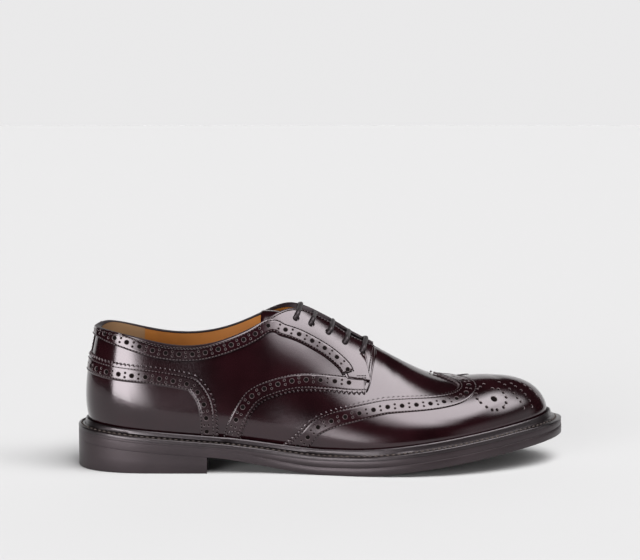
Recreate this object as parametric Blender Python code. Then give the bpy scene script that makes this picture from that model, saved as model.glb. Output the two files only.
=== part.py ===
"""Right wingtip shoe in metres: x towards the toe, y towards the medial side, z up.

Sizes are named first, then short tables hold shares of them. The upper's pieces are all
cut from one function of two shares, u from heel back to toe tip and v from feather to top.
"""
import bmesh
import bpy
import numpy as np

# Sole
LENGTH = 0.305
BALL_WIDTH = 0.105
HEEL_WIDTH = 0.073
HEEL_LENGTH = 0.083
HEEL_BLOCK = 0.0070
HEEL_WEDGE = 0.0104
TOE_SPRING = 0.0178
TOE_SHIFT = 0.0055
OUTSOLE = 0.0050
MIDSOLE = 0.0040
WELT = 0.0028
WELT_ROUND = 0.0009
LIP = 0.0035
LIP_WIDTH = 0.0011
MIDSOLE_STEP = 0.0006
INSOLE = 0.0020
MARGIN = 0.0090

# Upper
TOP = 0.1000
REACH = 0.0270
BULGE = 0.0100
SHOULDER = 0.0300
RIDGE_SHIFT = 0.0050
WALL = 0.0019
LEATHER = 0.0011
THIN_LEATHER = 0.0009
GAP = 0.0003
LACE = 0.0026
TONGUE = 0.0017
TONGUE_GAP = 0.0012
LACE_GAP = 0.0005
COVER_GAP = 0.0004

# Heights of the pieces over the last
OVER = GAP + LEATHER
STRIP = OVER + GAP
STRIP_TOP = STRIP + THIN_LEATHER

# Shares of LENGTH
FLAT = (0.506, 0.547)
SEAT = 0.492
BEND = 0.25
THIN_MIDSOLE = 0.35
FAN = (-0.369, 0.351)
FAN_CORNER = 0.026
BACK = -LENGTH / 2

# Shares of the half outline
CLOSED = 0.600
POLE = 0.880
SEAM = 0.0006
COUNTER_END = 0.311

# length share, ball width share, heel width share
LATERAL = [
    (0.000, 0.000, 0.000), (0.022, 0.000, 0.285), (0.085, 0.000, 0.450), (0.180, 0.000, 0.500),
    (0.290, 0.020, 0.480), (0.390, 0.155, 0.300), (0.500, 0.330, 0.120), (0.620, 0.475, 0.000),
    (0.730, 0.474, 0.000), (0.835, 0.392, 0.000), (0.925, 0.258, 0.000), (0.980, 0.110, 0.000),
]
MEDIAL = [
    (0.985, 0.212, 0.000), (0.945, 0.322, 0.000), (0.870, 0.420, 0.000), (0.780, 0.477, 0.000),
    (0.690, 0.490, 0.000), (0.590, 0.420, 0.000), (0.480, 0.240, 0.150), (0.380, 0.060, 0.350),
    (0.280, 0.000, 0.445), (0.180, 0.000, 0.485), (0.085, 0.000, 0.440), (0.022, 0.000, 0.280),
]

# u, then how far the feather stands in from the sole's edge: shares of MARGIN
MARGINS = [
    (0.00, 1.15, 1.15), (0.12, 0.98, 0.98), (0.25, 0.85, 0.82), (0.40, 0.80, 0.75),
    (0.60, 0.90, 0.84), (0.80, 0.95, 0.95), (0.92, 1.08, 1.08), (1.00, 1.20, 1.20),
]

# u, reach, top lateral, top medial, lean, handle, swell lateral, swell medial, swell height,
# middle lateral, middle medial, middle height:
# shares of REACH, TOP, TOP, a right angle, SHOULDER, BULGE x 5, SHOULDER
PROFILES = [
    (0.000, 0.993, 0.862, 0.862, 0.867, 0.500, 0.490, 0.490, 1.000, 0.410, 0.410, 0.923),
    (0.080, 0.970, 0.858, 0.871, 0.878, 0.467, 0.480, 0.480, 1.000, 0.380, 0.380, 0.933),
    (0.160, 0.926, 0.821, 0.823, 0.889, 0.433, 0.480, 0.480, 1.100, 0.260, 0.300, 0.900),
    (0.250, 0.956, 0.769, 0.784, 0.911, 0.400, 0.540, 0.600, 1.100, 0.180, 0.300, 0.867),
    (0.330, 0.889, 0.818, 0.834, 0.867, 0.467, 0.640, 0.720, 1.200, 0.140, 0.400, 0.933),
    (0.385, 0.611, 0.903, 0.923, 0.733, 0.600, 0.700, 0.780, 1.300, 0.000, 0.400, 1.133),
    (0.430, 0.315, 0.964, 0.978, 0.511, 0.667, 0.720, 0.800, 1.400, -0.200, 0.200, 1.267),
    (0.480, 0.193, 0.911, 0.921, 0.356, 0.667, 0.660, 0.740, 1.400, -0.500, -0.100, 1.267),
    (0.540, 0.163, 0.797, 0.810, 0.289, 0.600, 0.560, 0.640, 1.300, -0.800, -0.400, 1.200),
    (0.600, 0.000, 0.702, 0.702, 0.000, 0.533, 0.480, 0.500, 1.200, -1.000, -0.700, 1.100),
    (0.650, 0.000, 0.614, 0.614, 0.000, 0.567, 0.420, 0.420, 1.200, -1.000, -0.900, 1.000),
    (0.720, 0.000, 0.528, 0.528, 0.000, 0.600, 0.380, 0.380, 1.100, -0.900, -0.850, 0.867),
    (0.800, 0.000, 0.524, 0.524, 0.000, 0.600, 0.340, 0.340, 1.000, -0.750, -0.750, 0.767),
    (0.880, 0.000, 0.524, 0.524, 0.000, 0.567, 0.280, 0.280, 0.840, -0.530, -0.530, 0.697),
    (0.940, 0.000, 0.524, 0.524, 0.000, 0.567, 0.230, 0.230, 0.840, -0.530, -0.530, 0.697),
    (1.000, 0.000, 0.524, 0.524, 0.000, 0.567, 0.230, 0.230, 0.840, -0.530, -0.530, 0.697),
]

# Lines of the pieces. QUARTER and WING give u at v, the others give v at u.
QUARTER = [
    (0.000, 0.346), (0.140, 0.352), (0.280, 0.363), (0.358, 0.373), (0.421, 0.394),
    (0.441, 0.415), (0.463, 0.446), (0.481, 0.477), (0.500, 0.520), (0.516, 0.566),
    (0.545, 0.570), (0.666, 0.578), (0.782, 0.584), (0.892, 0.586), (1.000, 0.580),
]
WING = [
    (0.000, 0.410), (0.120, 0.431), (0.206, 0.448), (0.282, 0.464), (0.341, 0.488),
    (0.396, 0.520), (0.438, 0.552), (0.471, 0.586), (0.510, 0.632), (0.567, 0.686),
    (0.632, 0.726), (0.722, 0.743), (0.798, 0.740), (0.890, 0.724), (1.000, 0.690),
]
COUNTER = [
    (0.000, 0.745), (0.060, 0.738), (0.120, 0.725), (0.180, 0.732), (0.212, 0.728),
    (0.243, 0.712), (0.264, 0.682), (0.281, 0.623), (0.293, 0.540), (0.300, 0.475),
    (0.307, 0.351), (0.310, 0.156), (0.311, 0.000),
]
EYESTAY = [
    (0.000, 0.925), (0.074, 0.908), (0.114, 0.880), (0.153, 0.855), (0.188, 0.830),
    (0.221, 0.822), (0.285, 0.826), (0.327, 0.838), (0.365, 0.850), (0.389, 0.868),
    (0.401, 0.878), (0.417, 0.830), (0.440, 0.777), (0.466, 0.746), (0.485, 0.710),
    (0.511, 0.657), (0.523, 0.620), (0.527, 0.600), (0.549, 0.618), (0.574, 0.640),
]
FACING = [(0.000, 1.000), (0.500, 1.000), (0.540, 0.965), (0.590, 0.925)]
EYELETS = [(0.442, 0.931), (0.470, 0.889), (0.502, 0.876), (0.532, 0.859), (0.561, 0.828)]

# u, height of the tongue's middle: share of TOP
TONGUE_TOP = [
    (0.398, 0.918), (0.430, 0.930), (0.480, 0.885), (0.540, 0.770), (0.600, 0.690), (0.640, 0.680),
]

# The upper's grid. Every piece of it is cut from these columns and rows.
COLUMNS = [
    0.000, 0.028, 0.056, 0.084, 0.116, 0.150, 0.186, 0.222, 0.255, 0.284, 0.311, 0.335,
    0.359, 0.380, 0.395, 0.410, 0.428, 0.452, 0.477, 0.502, 0.527, 0.547, 0.566, 0.586,
    0.600, 0.630, 0.660, 0.690, 0.720, 0.750, 0.780, 0.810, 0.840, 0.870, 0.900, 0.930,
    0.955, 0.980, 1.000,
]
ROWS = [0.000, 0.100, 0.220, 0.340, 0.435, 0.516, 0.630, 0.755, 0.880, 1.000]


def smooth(t):
    t = np.clip(t, 0.0, 1.0)
    return t * t * (3.0 - 2.0 * t)


def spline(knots, values, at, closed=False):
    """A cubic through the knots, level at both ends or closed on itself."""
    knots = np.asarray(knots, float)
    values = np.asarray(values, float)
    if values.ndim == 1:
        values = values[:, None]
    count = len(knots)
    step = np.diff(knots)
    grid = np.zeros((count, count))
    right = np.zeros((count, values.shape[1]))
    for i in range(1, count - 1):
        before, after = step[i - 1], step[i]
        grid[i, i - 1:i + 2] = after, 2.0 * (before + after), before
        rise = after * (values[i] - values[i - 1]) / before
        rise = rise + before * (values[i + 1] - values[i]) / after
        right[i] = 3.0 * rise
    grid[0, 0] = grid[-1, -1] = 1.0
    if closed:
        before, after = step[-1], step[0]
        grid[0, 0], grid[0, 1], grid[0, -2] = 2.0 * (before + after), before, after
        rise = after * (values[0] - values[-2]) / before
        right[0] = 3.0 * (rise + before * (values[1] - values[0]) / after)
        grid[-1, 0], grid[-1, -1] = 1.0, -1.0
    slope = np.linalg.solve(grid, right)
    at = np.clip(np.asarray(at, float), knots[0], knots[-1])
    i = np.clip(np.searchsorted(knots, at, side="right") - 1, 0, count - 2)
    width = step[i][..., None]
    t = ((at - knots[i]) / step[i])[..., None]
    a, b = values[i], values[i + 1]
    m, n = slope[i] * width, slope[i + 1] * width
    out = a + t * m + t ** 2 * (3.0 * (b - a) - 2.0 * m - n) + t ** 3 * (2.0 * (a - b) + m + n)
    return out[..., 0] if out.shape[-1] == 1 else out


def table(rows, at):
    """Straight lines between a table's points."""
    return np.interp(at, [row[0] for row in rows], [row[1] for row in rows])


def make_outline(count=600):
    """The sole's edge as two halves, each from heel back to toe tip in even steps."""
    points = [(a * LENGTH + BACK, -b * BALL_WIDTH - c * HEEL_WIDTH) for a, b, c in LATERAL]
    points.append((-BACK, TOE_SHIFT))
    points += [(a * LENGTH + BACK, b * BALL_WIDTH + c * HEEL_WIDTH) for a, b, c in MEDIAL]
    points.append(points[0])
    points = np.array(points)
    knots = np.concatenate([[0.0], np.cumsum(np.hypot(*np.diff(points, axis=0).T))])
    curve = spline(knots, points, np.linspace(0.0, knots[-1], 4001), closed=True)
    tail = int(np.argmin(curve[:, 0]))
    if tail > 2000:
        curve = np.vstack([curve[tail:-1], curve[:tail + 1]])
    else:
        curve = np.vstack([curve[tail:], curve[1:tail + 1]])
    tip = int(np.argmax(curve[:, 0]))
    halves = {}
    for side, part in ((-1, curve[:tip + 1]), (1, curve[tip:][::-1])):
        run = np.concatenate([[0.0], np.cumsum(np.hypot(*np.diff(part, axis=0).T))])
        even = np.linspace(0.0, run[-1], count + 1)
        line = np.column_stack([np.interp(even, run, part[:, k]) for k in (0, 1)])
        along = np.gradient(line, axis=0)
        along[0], along[-1] = (0.0, side), (0.0, -side)
        along /= np.linalg.norm(along, axis=1)[:, None]
        inward = np.column_stack([-along[:, 1], along[:, 0]]) * -side
        halves[side] = (line, inward)
    return halves


OUTLINE = make_outline()
SHARES = np.linspace(0.0, 1.0, 601)
MIDDLE = 0.5 * (OUTLINE[-1][0][:, 1].min() + OUTLINE[1][0][:, 1].max())


def moved_edge(side, inset):
    """One half of the sole's edge moved inwards, by one length or a length for each point."""
    line, inward = OUTLINE[side]
    return line + inward * np.broadcast_to(inset, SHARES.shape)[:, None]


def edge(u, side, inset=0.0):
    """Points of a moved edge. Both sides have the same x at the same u."""
    guide = moved_edge(-1, inset)
    x = np.interp(u, SHARES, guide[:, 0])
    if side < 0:
        return np.stack([x, np.interp(u, SHARES, guide[:, 1])], -1)
    line = moved_edge(1, inset)
    return np.stack([x, np.interp(x, line[:, 0], line[:, 1])], -1)


def margin(side):
    column = 1 if side < 0 else 2
    return MARGIN * spline([r[0] for r in MARGINS], [r[column] for r in MARGINS], SHARES)


def feather(u, side, inset=0.0):
    """Where the upper meets the welt. Both sides have the same x at the same u."""
    guide = moved_edge(-1, margin(-1) + inset)
    x = np.interp(u, SHARES, guide[:, 0])
    if side < 0:
        return np.stack([x, np.interp(u, SHARES, guide[:, 1])], -1)
    line = moved_edge(1, margin(1) + inset)
    return np.stack([x, np.interp(x, line[:, 0], line[:, 1])], -1)


def ground(x):
    """Height of the outsole's underside over the floor."""
    a = (np.asarray(x, float) - BACK) / LENGTH
    breast = HEEL_LENGTH / LENGTH
    block = HEEL_BLOCK * smooth((FLAT[0] - a) / (FLAT[0] - breast))
    wedge = HEEL_WEDGE * np.clip(1.0 - a / SEAT, 0.0, 1.0) ** 1.55
    t = np.clip((a - FLAT[1]) / (1.0 - FLAT[1]), 0.0, 1.0)
    return block + wedge + TOE_SPRING * (np.sqrt(BEND ** 2 + t * t * (1.0 + 2.0 * BEND)) - BEND)


def middle_depth(x):
    """The midsole is full in the forepart and thinner from the waist back."""
    a = (np.asarray(x, float) - BACK) / LENGTH
    return MIDSOLE * (THIN_MIDSOLE + (1.0 - THIN_MIDSOLE) * smooth((a - 0.28) / 0.20))


def welt_foot(x):
    return ground(x) + OUTSOLE + middle_depth(x)


def bed(x):
    """Height of the welt's top, on which the upper stands."""
    return welt_foot(x) + WELT


def held(x):
    """The fan's centre: x kept between two ends, with soft corners."""
    low, high = FAN[0] * LENGTH, FAN[1] * LENGTH
    soft = FAN_CORNER * LENGTH

    def bend(t):
        return soft * np.log1p(np.exp(np.clip(t / soft, -40.0, 40.0)))

    return low + bend(x - low) - bend(x - high)


def ridge(x):
    """The top line of the foot lies a little to the medial side."""
    return RIDGE_SHIFT * smooth(((np.asarray(x) - BACK) / LENGTH - 0.33) / 0.60)


def last(u, v, side):
    """The surface that carries every piece of the upper."""
    rows = np.array(PROFILES, float)
    u, v = np.broadcast_arrays(np.asarray(u, float), np.asarray(v, float))
    c = spline(rows[:, 0], rows[:, 1:], u)
    own = 0 if side < 0 else 1
    reach = np.maximum(c[..., 0], 0.0) * REACH
    top = c[..., 1 + own] * TOP
    lean = np.clip(c[..., 3], 0.0, 1.0) * np.pi / 2
    handle = c[..., 4] * SHOULDER
    swell, swell_height = c[..., 5 + own] * BULGE, c[..., 7] * BULGE
    middle, middle_height = c[..., 8 + own] * BULGE, c[..., 10] * SHOULDER
    foot = feather(u, side)
    centre = held(foot[..., 0])
    spine = np.stack([centre, ridge(centre)], -1)
    away = foot - spine
    width = np.linalg.norm(away, axis=-1)
    away = away / width[..., None]
    before, after = np.clip(u - 0.001, 0.0, 1.0), np.clip(u + 0.001, 0.0, 1.0)
    run = held(feather(after, -1)[..., 0]) - held(feather(before, -1)[..., 0])
    climb = spline(rows[:, 0], rows[:, 2 + own], after) - spline(rows[:, 0], rows[:, 2 + own], before)
    slope = climb * TOP / np.maximum(run, 0.0003)
    tilt = slope * away[..., 0] * np.cos(lean) ** 2
    low = bed(foot[..., 0]) + GAP
    points = (
        (width, low),
        (width + swell, low + swell_height),
        (width + middle, low + middle_height),
        (reach + handle * np.cos(lean), top - handle * np.sin(lean) + handle * tilt),
        (reach, top),
    )
    weights = ((1 - v) ** 4, 4 * (1 - v) ** 3 * v, 6 * (1 - v) ** 2 * v ** 2, 4 * (1 - v) * v ** 3, v ** 4)
    out = sum(w * p[0] for w, p in zip(weights, points))
    up = sum(w * p[1] for w, p in zip(weights, points))
    flat = spine + away * out[..., None]
    return np.concatenate([flat, up[..., None]], -1)


def skin(u, v, side, lift):
    """Points a distance outside the last, level with it along the feather."""
    u, v = np.broadcast_arrays(np.asarray(u, float), np.asarray(v, float))
    e = 0.002
    near = np.minimum(v, 0.98)
    du = last(np.clip(u + e, 0, 1), near, side) - last(np.clip(u - e, 0, 1), near, side)
    dv = last(u, np.clip(v + e, 0, 1), side) - last(u, np.clip(v - e, 0, 1), side)
    normal = np.cross(du, dv) * -side
    normal[..., 2] *= smooth(v / 0.18)
    normal /= np.maximum(np.linalg.norm(normal, axis=-1), 1e-12)[..., None]
    return last(u, v, side) + normal * np.broadcast_to(lift, u.shape)[..., None]


def shared_skin(u, v, side, lift):
    """As skin, with the two sides at one point on the heel back, the toe and the ridge."""
    u, v = np.array(u, float), np.array(v, float)
    pole = (v > 0.9999) & (u > POLE)
    u[pole] = 1.0
    own = skin(u, v, side, lift)
    other = skin(u, v, -side, lift)
    both = (u < 1e-6) | (u > 0.9999) | ((v > 0.9999) & (u > CLOSED - 1e-6))
    return np.where(both[:, None], 0.5 * (own + other), own)


def wall(u):
    """The shell is thinner where the quarters double it."""
    return WALL * (0.70 + 0.30 * smooth((np.asarray(u) - 0.50) / 0.15))


def add_solid(name, points, faces):
    """One closed body from points and faces, centred across: doubles welded, normals outwards."""
    mesh = bpy.data.meshes.new(name)
    item = bpy.data.objects.new(name, mesh)
    bpy.context.collection.objects.link(item)
    work = bmesh.new()
    corners = [work.verts.new((p[0], p[1] - MIDDLE, p[2])) for p in points]
    for face in faces:
        ring = [corners[i] for k, i in enumerate(face) if i != face[k - 1]]
        if len(ring) > 2:
            work.faces.new(ring)
    bmesh.ops.remove_doubles(work, verts=work.verts, dist=2e-6)
    bmesh.ops.dissolve_degenerate(work, edges=work.edges, dist=1e-7)
    loose = [v for v in work.verts if not v.link_faces]
    bmesh.ops.delete(work, geom=loose, context="VERTS")
    bmesh.ops.triangulate(work, faces=work.faces, quad_method="FIXED")
    bmesh.ops.recalc_face_normals(work, faces=work.faces)
    work.to_mesh(mesh)
    volume = work.calc_volume()
    work.free()
    print(name, len(mesh.polygons), "triangles", round(volume * 1e6, 2), "cm3")
    return item


def close_sheet(name, outer, inner, faces):
    """A solid between two copies of one sheet."""
    count = len(outer)
    used = {}
    for face in faces:
        for k, b in enumerate(face):
            used[(face[k - 1], b)] = used.get((face[k - 1], b), 0) + 1
    solid = [tuple(face) for face in faces]
    solid += [tuple(count + i for i in reversed(face)) for face in faces]
    for a, b in used:
        if (b, a) not in used:
            solid.append((b, a, count + a, count + b))
    return add_solid(name, list(outer) + list(inner), solid)


def weld(nodes, faces, places):
    """Join nodes that stand at one place."""
    first, target = {}, []
    for i, place in enumerate(places):
        key = tuple(np.round(np.asarray(place) * 1e6).astype(int))
        target.append(first.setdefault(key, i))
    joined = []
    for face in faces:
        ring = [target[i] for i in face]
        ring = [i for k, i in enumerate(ring) if i != ring[k - 1]]
        if len(ring) > 2:
            joined.append(ring)
    return joined


def cut(side, inside):
    """The grid's triangles, cut along the line where inside(u, v) changes.

    A node is a share of the way from one grid corner to another, so that the pieces over
    and under each other have parallel facets."""
    nodes, faces, known = [], [], {}

    def node(a, b, share):
        key = (a, b, round(share, 6))
        if key not in known:
            known[key] = len(nodes)
            nodes.append(a + b + (share,))
        return known[key]

    def crossing(a, b):
        if (b, a) < (a, b):
            a, b = b, a
        start, low, high = inside(*a), 0.0, 1.0
        for _ in range(20):
            m = 0.5 * (low + high)
            same = inside(a[0] + (b[0] - a[0]) * m, a[1] + (b[1] - a[1]) * m) == start
            low, high = (m, high) if same else (low, m)
        return node(a, b, min(0.97, max(0.03, 0.5 * (low + high))))

    for i in range(len(COLUMNS) - 1):
        for j in range(len(ROWS) - 1):
            u0, u1, v0, v1 = COLUMNS[i], COLUMNS[i + 1], ROWS[j], ROWS[j + 1]
            for ring in (((u0, v0), (u1, v0), (u1, v1)), ((u0, v0), (u1, v1), (u0, v1))):
                kept = []
                for k, b in enumerate(ring):
                    a = ring[k - 1]
                    if inside(*a) != inside(*b):
                        kept.append(crossing(a, b))
                    if inside(*b):
                        kept.append(node(b, b, 0.0))
                if len(kept) > 2:
                    faces.append(kept if side < 0 else kept[::-1])
    return nodes, faces


def add_piece(name, sides, inside, low, high, seam=False):
    """A piece of the upper between two heights over the last."""
    outer, inner, faces = [], [], []
    for side in sides:
        nodes, found = cut(side, inside)
        table_of = np.array(nodes)
        share = table_of[:, 4:5]
        start = len(outer)
        for height, out in ((high, outer), (low, inner)):
            ends = []
            for k in (0, 2):
                u, v = table_of[:, k], table_of[:, k + 1]
                u = np.maximum(u, SEAM) if seam else u
                ends.append(shared_skin(u, v, side, height(u)))
            out += list(ends[0] + (ends[1] - ends[0]) * share)
        faces += [[start + i for i in face] for face in found]
    return close_sheet(name, outer, inner, weld(outer, faces, outer))


def flat_lift(value):
    return lambda u: np.full(np.shape(u), value)


def add_plate(name, stations, inset, low, high, strips=2, ends=(0.0, 1.0)):
    """A plate across the foot, between two heights given along x."""
    u = np.linspace(ends[0], ends[1], stations + 1)
    across = np.linspace(0.0, 1.0, strips + 1)
    a, b = inset(u, -1), inset(u, 1)
    top, bottom, faces = [], [], []
    for i in range(stations + 1):
        for w in across:
            x, y = a[i] + (b[i] - a[i]) * w
            top.append((x, y, float(high(x))))
            bottom.append((x, y, float(low(x))))
    for i in range(stations):
        for j in range(strips):
            k = i * (strips + 1) + j
            faces.append([k, k + strips + 1, k + strips + 2, k + 1])
    return close_sheet(name, top, bottom, weld(top, faces, top))


def add_welt():
    """The storm welt: a rounded outer edge, a groove and a lip standing by the upper."""
    rows = np.array(PROFILES, float)
    rings = []
    u_list = np.linspace(0.0, 1.0, 33)
    for side, shares in ((-1, u_list), (1, u_list[-2:0:-1])):
        widths = margin(side)
        for u in shares:
            c = spline(rows[:, 0], rows[:, 1:], u)
            pieces = OVER + (STRIP_TOP - OVER) * (1.0 - smooth((u - COUNTER_END - 0.004) / 0.02))
            inner = np.interp(u, SHARES, widths)
            face = inner - pieces - COVER_GAP
            tip = face - 0.95 * LIP * c[5 if side < 0 else 6] / c[7]
            shape = (
                (0.0, GAP), (0.0, 0.5 * WELT), (WELT_ROUND, WELT),
                (tip - 1.6 * LIP_WIDTH, 0.86 * WELT), (tip - 1.1 * LIP_WIDTH, WELT + LIP),
                (tip - 0.1 * LIP_WIDTH, WELT + LIP), (face, 1.07 * WELT),
                (face + 0.2 * LIP_WIDTH, WELT), (inner + WALL, WELT), (inner + WALL, GAP),
            )
            ring = []
            for inset, height in shape:
                line, inward = OUTLINE[side]
                at = [np.interp(u, SHARES, line[:, k]) for k in (0, 1)]
                way = [np.interp(u, SHARES, inward[:, k]) for k in (0, 1)]
                x, y = at[0] + way[0] * inset, at[1] + way[1] * inset
                ring.append((x, y, float(welt_foot(x)) + height))
            rings.append(ring)
    points = [p for ring in rings for p in ring]
    size, count = len(rings[0]), len(rings)
    faces = []
    for i in range(count):
        for j in range(size):
            a, b = i * size + j, i * size + (j + 1) % size
            c, d = ((i + 1) % count) * size + (j + 1) % size, ((i + 1) % count) * size + j
            faces.append((a, b, c, d))
    return add_solid("welt", points, faces)


def add_tongue():
    """A bowed plate under the facings, its top bent back over the collar."""
    stations = [0.398, 0.410, 0.425, 0.445, 0.470, 0.500, 0.530, 0.560, 0.590, 0.615, 0.640]
    across = np.linspace(0.0, 1.0, 6)
    down = np.linspace(1.0, 0.55, 40)
    outer, inner = [], []
    for u in stations:
        middle = spline([r[0] for r in TONGUE_TOP], [r[1] for r in TONGUE_TOP], u) * TOP
        low = 0.70 - 0.10 * smooth((u - 0.50) / 0.10)
        for side in (-1, 1):
            for depth, out in ((0.0, outer), (TONGUE, inner)):
                lift = -(float(wall(u)) + TONGUE_GAP + depth)
                shell = skin(np.full(40, u), down, side, lift)
                centre = ridge(shell[0, 0])
                end = skin(u, low, side, lift)
                shares = across[::-1] if side < 0 else across[1:]
                for w in shares:
                    y = centre + (end[1] - centre) * w
                    bowed = middle - depth - (middle - depth - end[2]) * w ** 2.4
                    under = np.interp(abs(y - centre), np.abs(shell[:, 1] - centre), shell[:, 2])
                    out.append((end[0], y, min(bowed, under)))
    wide = 2 * len(across) - 1
    faces = []
    for i in range(len(stations) - 1):
        for j in range(wide - 1):
            k = i * wide + j
            faces.append([k, k + wide, k + wide + 1, k + 1])
    return close_sheet("tongue", outer, inner, faces)


def add_lace_bar(name, u, v):
    """One straight bar of the lace, from above one eyelet to above the other."""
    rise = np.linspace(v, 1.0, 4)
    lift = STRIP_TOP + LACE / 2 + LACE_GAP * np.array([1.0, 1.0, 1.2, 2.4])
    halves = [skin(np.full(4, u), rise, side, lift) for side in (-1, 1)]
    crest = 0.5 * (halves[0][-1] + halves[1][-1])
    knots = np.vstack([halves[0], crest, halves[1][::-1]])
    path = spline(np.arange(9), knots, np.linspace(0.0, 8.0, 15))
    along = np.gradient(path, axis=0)
    along /= np.linalg.norm(along, axis=1)[:, None]
    ahead = np.array([1.0, 0.0, 0.0])
    points, faces, sides = [], [], 6
    for p, t in zip(path, along):
        a = ahead - t * np.dot(ahead, t)
        a /= np.linalg.norm(a)
        b = np.cross(t, a)
        for k in range(sides):
            turn = 2 * np.pi * k / sides
            points.append(tuple(p + LACE / 2 * (np.cos(turn) * a + np.sin(turn) * b)))
    count = len(path)
    for i in range(count - 1):
        for k in range(sides):
            n = (k + 1) % sides
            faces.append((i * sides + k, i * sides + n, (i + 1) * sides + n, (i + 1) * sides + k))
    faces.append(tuple(range(sides - 1, -1, -1)))
    faces.append(tuple((count - 1) * sides + k for k in range(sides)))
    return add_solid(name, points, faces)


def in_quarter(u, v):
    return u <= table(QUARTER, v) + 1e-9 and v <= table(FACING, u) + 1e-9


def in_strip(u, v):
    return in_quarter(u, v) and v >= table(EYESTAY, u) - 1e-9


def in_counter(u, v):
    return u <= COUNTER[-1][0] + 1e-9 and v <= table(COUNTER, u) + 1e-9


def in_wing(u, v):
    return u >= table(WING, v) - 1e-9


for old in list(bpy.data.objects):
    bpy.data.objects.remove(old)

breast = float(np.interp(BACK + HEEL_LENGTH, OUTLINE[-1][0][:, 0], SHARES))
add_plate("heel", 14, lambda u, s: edge(u, s), lambda x: 0.0, lambda x: ground(x) - GAP, 2, (0.0, breast))
add_plate("outsole", 36, lambda u, s: edge(u, s), ground, lambda x: ground(x) + OUTSOLE)
add_plate("midsole", 36, lambda u, s: edge(u, s, MIDSOLE_STEP),
          lambda x: ground(x) + OUTSOLE + GAP, welt_foot)
add_welt()
add_plate("insole", 30, lambda u, s: feather(u, s, WALL + 2.0 * GAP),
          lambda x: welt_foot(x) + GAP, lambda x: bed(x) + INSOLE)

add_piece("upper", (-1, 1), lambda u, v: True, lambda u: -wall(u), flat_lift(0.0))
add_piece("wing_cap", (-1, 1), in_wing, flat_lift(GAP), flat_lift(OVER))
add_piece("quarter_lateral", (-1,), in_quarter, flat_lift(GAP), flat_lift(OVER), seam=True)
add_piece("quarter_medial", (1,), in_quarter, flat_lift(GAP), flat_lift(OVER), seam=True)
add_piece("counter", (-1, 1), in_counter, flat_lift(STRIP), flat_lift(STRIP_TOP))
add_piece("eyestay_lateral", (-1,), in_strip, flat_lift(STRIP), flat_lift(STRIP_TOP), seam=True)
add_piece("eyestay_medial", (1,), in_strip, flat_lift(STRIP), flat_lift(STRIP_TOP), seam=True)
add_tongue()
for number, (u, v) in enumerate(EYELETS, 1):
    add_lace_bar("lace_bar_%d" % number, u, v)
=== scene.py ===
# %% [markdown]
# # A polished wingtip shoe
#
# A full brogue is built up in layers: a soft shell pulled over a wooden last, then a winged
# toe cap, two quarters, a heel counter and a pair of eyelet stays, all punched and pinked.
# Every one of those layers follows the same curved surface, the last. So this lesson writes
# the last once, as a function of two shares, and then lays each leather piece on it.

# %% Load the measured model
import math

import bmesh
import bpy
import numpy as np
from mathutils import Matrix, Vector


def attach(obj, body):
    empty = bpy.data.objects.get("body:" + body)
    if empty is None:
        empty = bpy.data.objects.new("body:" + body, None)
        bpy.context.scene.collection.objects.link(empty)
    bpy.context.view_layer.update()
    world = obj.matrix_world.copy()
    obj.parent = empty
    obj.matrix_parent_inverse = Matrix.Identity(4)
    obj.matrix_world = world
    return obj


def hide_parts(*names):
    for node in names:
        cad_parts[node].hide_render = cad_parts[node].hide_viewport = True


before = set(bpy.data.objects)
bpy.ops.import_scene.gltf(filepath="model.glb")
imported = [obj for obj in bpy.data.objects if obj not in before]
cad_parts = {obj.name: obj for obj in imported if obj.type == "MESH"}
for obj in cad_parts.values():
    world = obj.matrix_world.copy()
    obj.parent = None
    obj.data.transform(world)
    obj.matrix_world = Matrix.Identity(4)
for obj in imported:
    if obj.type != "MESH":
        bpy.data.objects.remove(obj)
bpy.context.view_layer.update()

# %% [markdown]
# ## The camera
#
# The shoe is seen from its outer side, a little from above, from about a metre away. A long
# lens keeps the toe and the heel at one scale. The camera is aimed with a matrix whose three
# columns are its right, its up and the way back from what it looks at.

# %% Camera
MIDDLE = 0.000484  # every y is moved by it, which centres the shoe's width
TURN, DIP = math.radians(-1.35), math.radians(5.70)
SLIDE, EYE_HEIGHT = -0.0011, 0.2144

right = Vector((math.cos(TURN), math.sin(TURN), 0.0))
ahead = Vector((-math.sin(TURN), math.cos(TURN), 0.0))
look = ahead * math.cos(DIP) - Vector((0.0, 0.0, 1.0)) * math.sin(DIP)
lens = bpy.data.cameras.new("camera")
lens.lens = 90.4
lens.sensor_width = 36.0
camera = bpy.data.objects.new("camera", lens)
bpy.context.scene.collection.objects.link(camera)
aim = Matrix((right, right.cross(look), -look)).transposed().to_4x4()
aim.translation = right * SLIDE - ahead + Vector((0.0, -MIDDLE, EYE_HEIGHT))
camera.matrix_world = aim
bpy.context.scene.camera = camera
print("Camera at", tuple(round(c, 3) for c in camera.location))

# %% [markdown]
# ## The sizes
#
# These are the sizes that the measured model was made from, in metres. The tables hold
# shares of them, so they stay short and can be read as a shoemaker reads a pattern.

# %% Sizes of the sole
MM = 0.001
LENGTH = 0.305
BALL_WIDTH = 0.105
HEEL_WIDTH = 0.073
HEEL_LENGTH = 0.083
HEEL_BLOCK = 0.0070
HEEL_WEDGE = 0.0104
TOE_SPRING = 0.0178
TOE_SHIFT = 0.0055
OUTSOLE = 0.0050
MIDSOLE = 0.0040
THIN_MIDSOLE = 0.35
WELT = 0.0028
LIP = 0.0035
INSOLE = 0.0020
MARGIN = 0.0090
FLAT = (0.506, 0.547)
SEAT = 0.492
BEND = 0.25
BACK = -LENGTH / 2
CLEAR = 0.3 * MM  # the gap between two layers

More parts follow.
